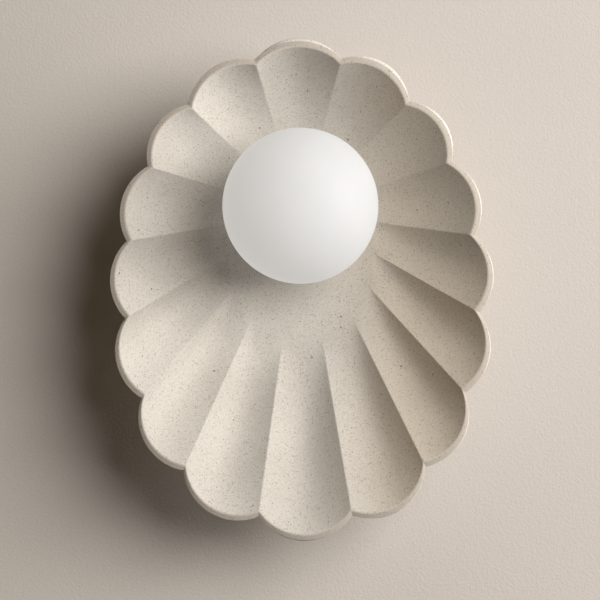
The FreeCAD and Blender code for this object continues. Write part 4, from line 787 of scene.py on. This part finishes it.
zinc = makeMetal("zincPlate", (0.52, 0.53, 0.55), (0.66, 0.67, 0.68), 0.36, (1, 4, 1))
brass = makeMetal("brassPlate", (0.68, 0.50, 0.22), (0.80, 0.62, 0.31), 0.3)
powderCoat = makeCoatedSteel(coatLook)
rubber = makeSoftPlastic("blackRubber", (0.018, 0.018, 0.018), (0.03, 0.03, 0.03), 0.7)
silicone = makeSoftPlastic("clearSilicone", (0.62, 0.62, 0.60), (0.70, 0.70, 0.68), 0.45)
glazedWhite = makeSoftPlastic("glazedWhite", (0.80, 0.79, 0.76), (0.86, 0.85, 0.83), 0.18, 1.2 * mm)
nylon = makeSoftPlastic("whiteNylon", (0.74, 0.74, 0.71), (0.80, 0.80, 0.78), 0.5)
bulbPlastic = makeSoftPlastic("bulbPlastic", (0.80, 0.80, 0.78), (0.86, 0.86, 0.84), 0.35)
board = makeSoftPlastic("ledBoard", (0.78, 0.68, 0.30), (0.86, 0.78, 0.42), 0.4, 2.6 * mm)
brownSleeve = makeSoftPlastic("brownSleeve", (0.11, 0.045, 0.02), (0.14, 0.06, 0.03), 0.4)
blueSleeve = makeSoftPlastic("blueSleeve", (0.02, 0.09, 0.35), (0.03, 0.12, 0.42), 0.4)
felt = makeFelt(feltLook)

finishes = {
    "wall_bracket": zinc, "cable_grommet": rubber, "canopy": powderCoat, "canopy_screws": zinc,
    "canopy_pad": felt, "hub_washer": silicone, "fitter": zinc, "nipple": brass,
    "nipple_nuts": zinc, "lock_washers": zinc, "nipple_bushes": nylon, "holder_strap": zinc,
    "lampholder": glazedWhite, "holder_contacts": brass, "holder_screws": zinc,
    "terminal_block": nylon, "terminal_tubes": brass, "terminal_screws": zinc,
    "terminal_fixing_screw": zinc, "earth_stud": brass, "earth_nut": brass,
    "earth_stud_tag": zinc, "earth_hub_tag": zinc, "live_wire": brownSleeve,
    "neutral_wire": blueSleeve, "earth_wire": makeEarthWire(sleeveLook), "globe_seal": silicone,
    "bulb_base": bulbPlastic, "bulb_pins": zinc, "bulb_cover": bulbPlastic, "led_core": board,
}
for node, finish in finishes.items():
    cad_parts[node].data.materials.clear()
    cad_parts[node].data.materials.append(finish)
shell.data.materials.append(makeStoneware(stonewareLook))
globe.data.materials.append(makeOpalGlass(opalLook))
print("materials made")

# ---------- backdrop and light ----------

studio = {
    "wallColour": (0.635, 0.598, 0.562),
    "wallHalf": 2.4,
    "wallGap": 0.4 * mm,             # so that the wall and the canopy's back don't share a plane
    "wallPaler": 1.04,               # the plaster's pale clouds
    "wallClouds": 300 * mm,
    "plasterGrain": 1.7 * mm,
    "plasterDepth": 0.4 * mm,
    "plasterBump": 0.6,
    "plasterRoughness": 0.9,
    "plasterShine": 0.2,
    "worldColour": (1.0, 0.70, 0.38),
    "worldStrength": 0.016,
    "lampAim": (0, 0, -0.05),
    "keyFrom": (1.12, -1.71, 0.44),  # from the lamp axis on the wall
    "keySize": (1.7, 1.3),           # width and height
    "keyPower": 42,
    "keyColour": (1.0, 0.955, 0.905),
    "sideFrom": (1.92, -0.72, 0.34),
    "sideSize": (1.2, 1.2),
    "sidePower": 23,
    "sideColour": (1.0, 0.97, 0.93),
    "fillFrom": (-2.0, -0.62, -0.10),
    "fillSize": (0.8, 0.8),
    "fillPower": 2.2,
    "fillColour": (1.0, 0.70, 0.40),
    "rearFrom": (0.9, 1.9, 0.5),
    "rearSize": (1.0, 1.0),
    "rearPower": 5,
    "rearColour": (1.0, 0.95, 0.88),
}


def makeWall(look):
    # a plaster wall behind the light, clear from its back, so that the object also shows from behind
    half = look["wallHalf"]
    gap = look["wallGap"]
    mesh = bpy.data.meshes.new("plaster_wall")
    corners = [(-half, gap, -half), (half, gap, -half), (half, gap, half), (-half, gap, half)]
    mesh.from_pydata(corners, [], [(0, 1, 2, 3)])
    wall = bpy.data.objects.new("plaster_wall", mesh)
    bpy.context.scene.collection.objects.link(wall)
    material, tree, surface, place = newMaterial("plaster")
    pale = tuple(look["wallPaler"] * part for part in look["wallColour"])
    clouds = addClouds(tree, place, look["wallClouds"])
    tree.links.new(addColourMix(tree, clouds, look["wallColour"], pale), surface.inputs["Base Color"])
    surface.inputs["Roughness"].default_value = look["plasterRoughness"]
    surface.inputs["Specular IOR Level"].default_value = look["plasterShine"]
    grain = addNoise(tree, place, look["plasterGrain"], 3)
    addBump(tree, surface, grain, look["plasterDepth"], look["plasterBump"])
    # clear from its back, and to the lamp behind it
    side = addMath(tree, "MAXIMUM", tree.nodes.new("ShaderNodeNewGeometry").outputs["Backfacing"],
                   tree.nodes.new("ShaderNodeLightPath").outputs["Is Shadow Ray"])
    clear = tree.nodes.new("ShaderNodeBsdfTransparent")
    mixed = tree.nodes.new("ShaderNodeMixShader")
    tree.links.new(side, mixed.inputs[0])
    tree.links.new(surface.outputs["BSDF"], mixed.inputs[1])
    tree.links.new(clear.outputs["BSDF"], mixed.inputs[2])
    tree.links.new(mixed.outputs["Shader"], tree.nodes["Material Output"].inputs["Surface"])
    mesh.materials.append(material)


def addLamp(name, place, aim, size, power, colour):
    # an oval lamp that faces its aim d: pitch = acos(-d.z) and yaw = atan2(-d.x, d.y)
    data = bpy.data.lights.new(name, "AREA")
    data.shape = "ELLIPSE"
    data.size, data.size_y = size
    data.energy = power
    data.color = colour
    lamp = bpy.data.objects.new(name, data)
    lamp.location = place
    direction = np.array(aim) - np.array(place)
    direction = direction / np.linalg.norm(direction)
    yaw = math.atan2(-direction[0], direction[1])
    pitch = math.acos(-direction[2])
    lamp.rotation_euler = (pitch, 0, yaw)
    bpy.context.scene.collection.objects.link(lamp)


def lightStudio(look):
    # a dim warm world and four lamps; the rear one lights the back through the clear wall
    world = bpy.data.worlds.new("studioAir")
    bpy.context.scene.world = world
    world.use_nodes = True
    air = world.node_tree.nodes["Background"]
    air.inputs["Color"].default_value = (*look["worldColour"], 1)
    air.inputs["Strength"].default_value = look["worldStrength"]
    for name in ("key", "side", "fill", "rear"):
        addLamp(name + "Lamp", look[name + "From"], look["lampAim"], look[name + "Size"],
                look[name + "Power"], look[name + "Colour"])
    bpy.context.scene.view_settings.view_transform = "Standard"


makeWall(studio)
lightStudio(studio)
print("studio lit")
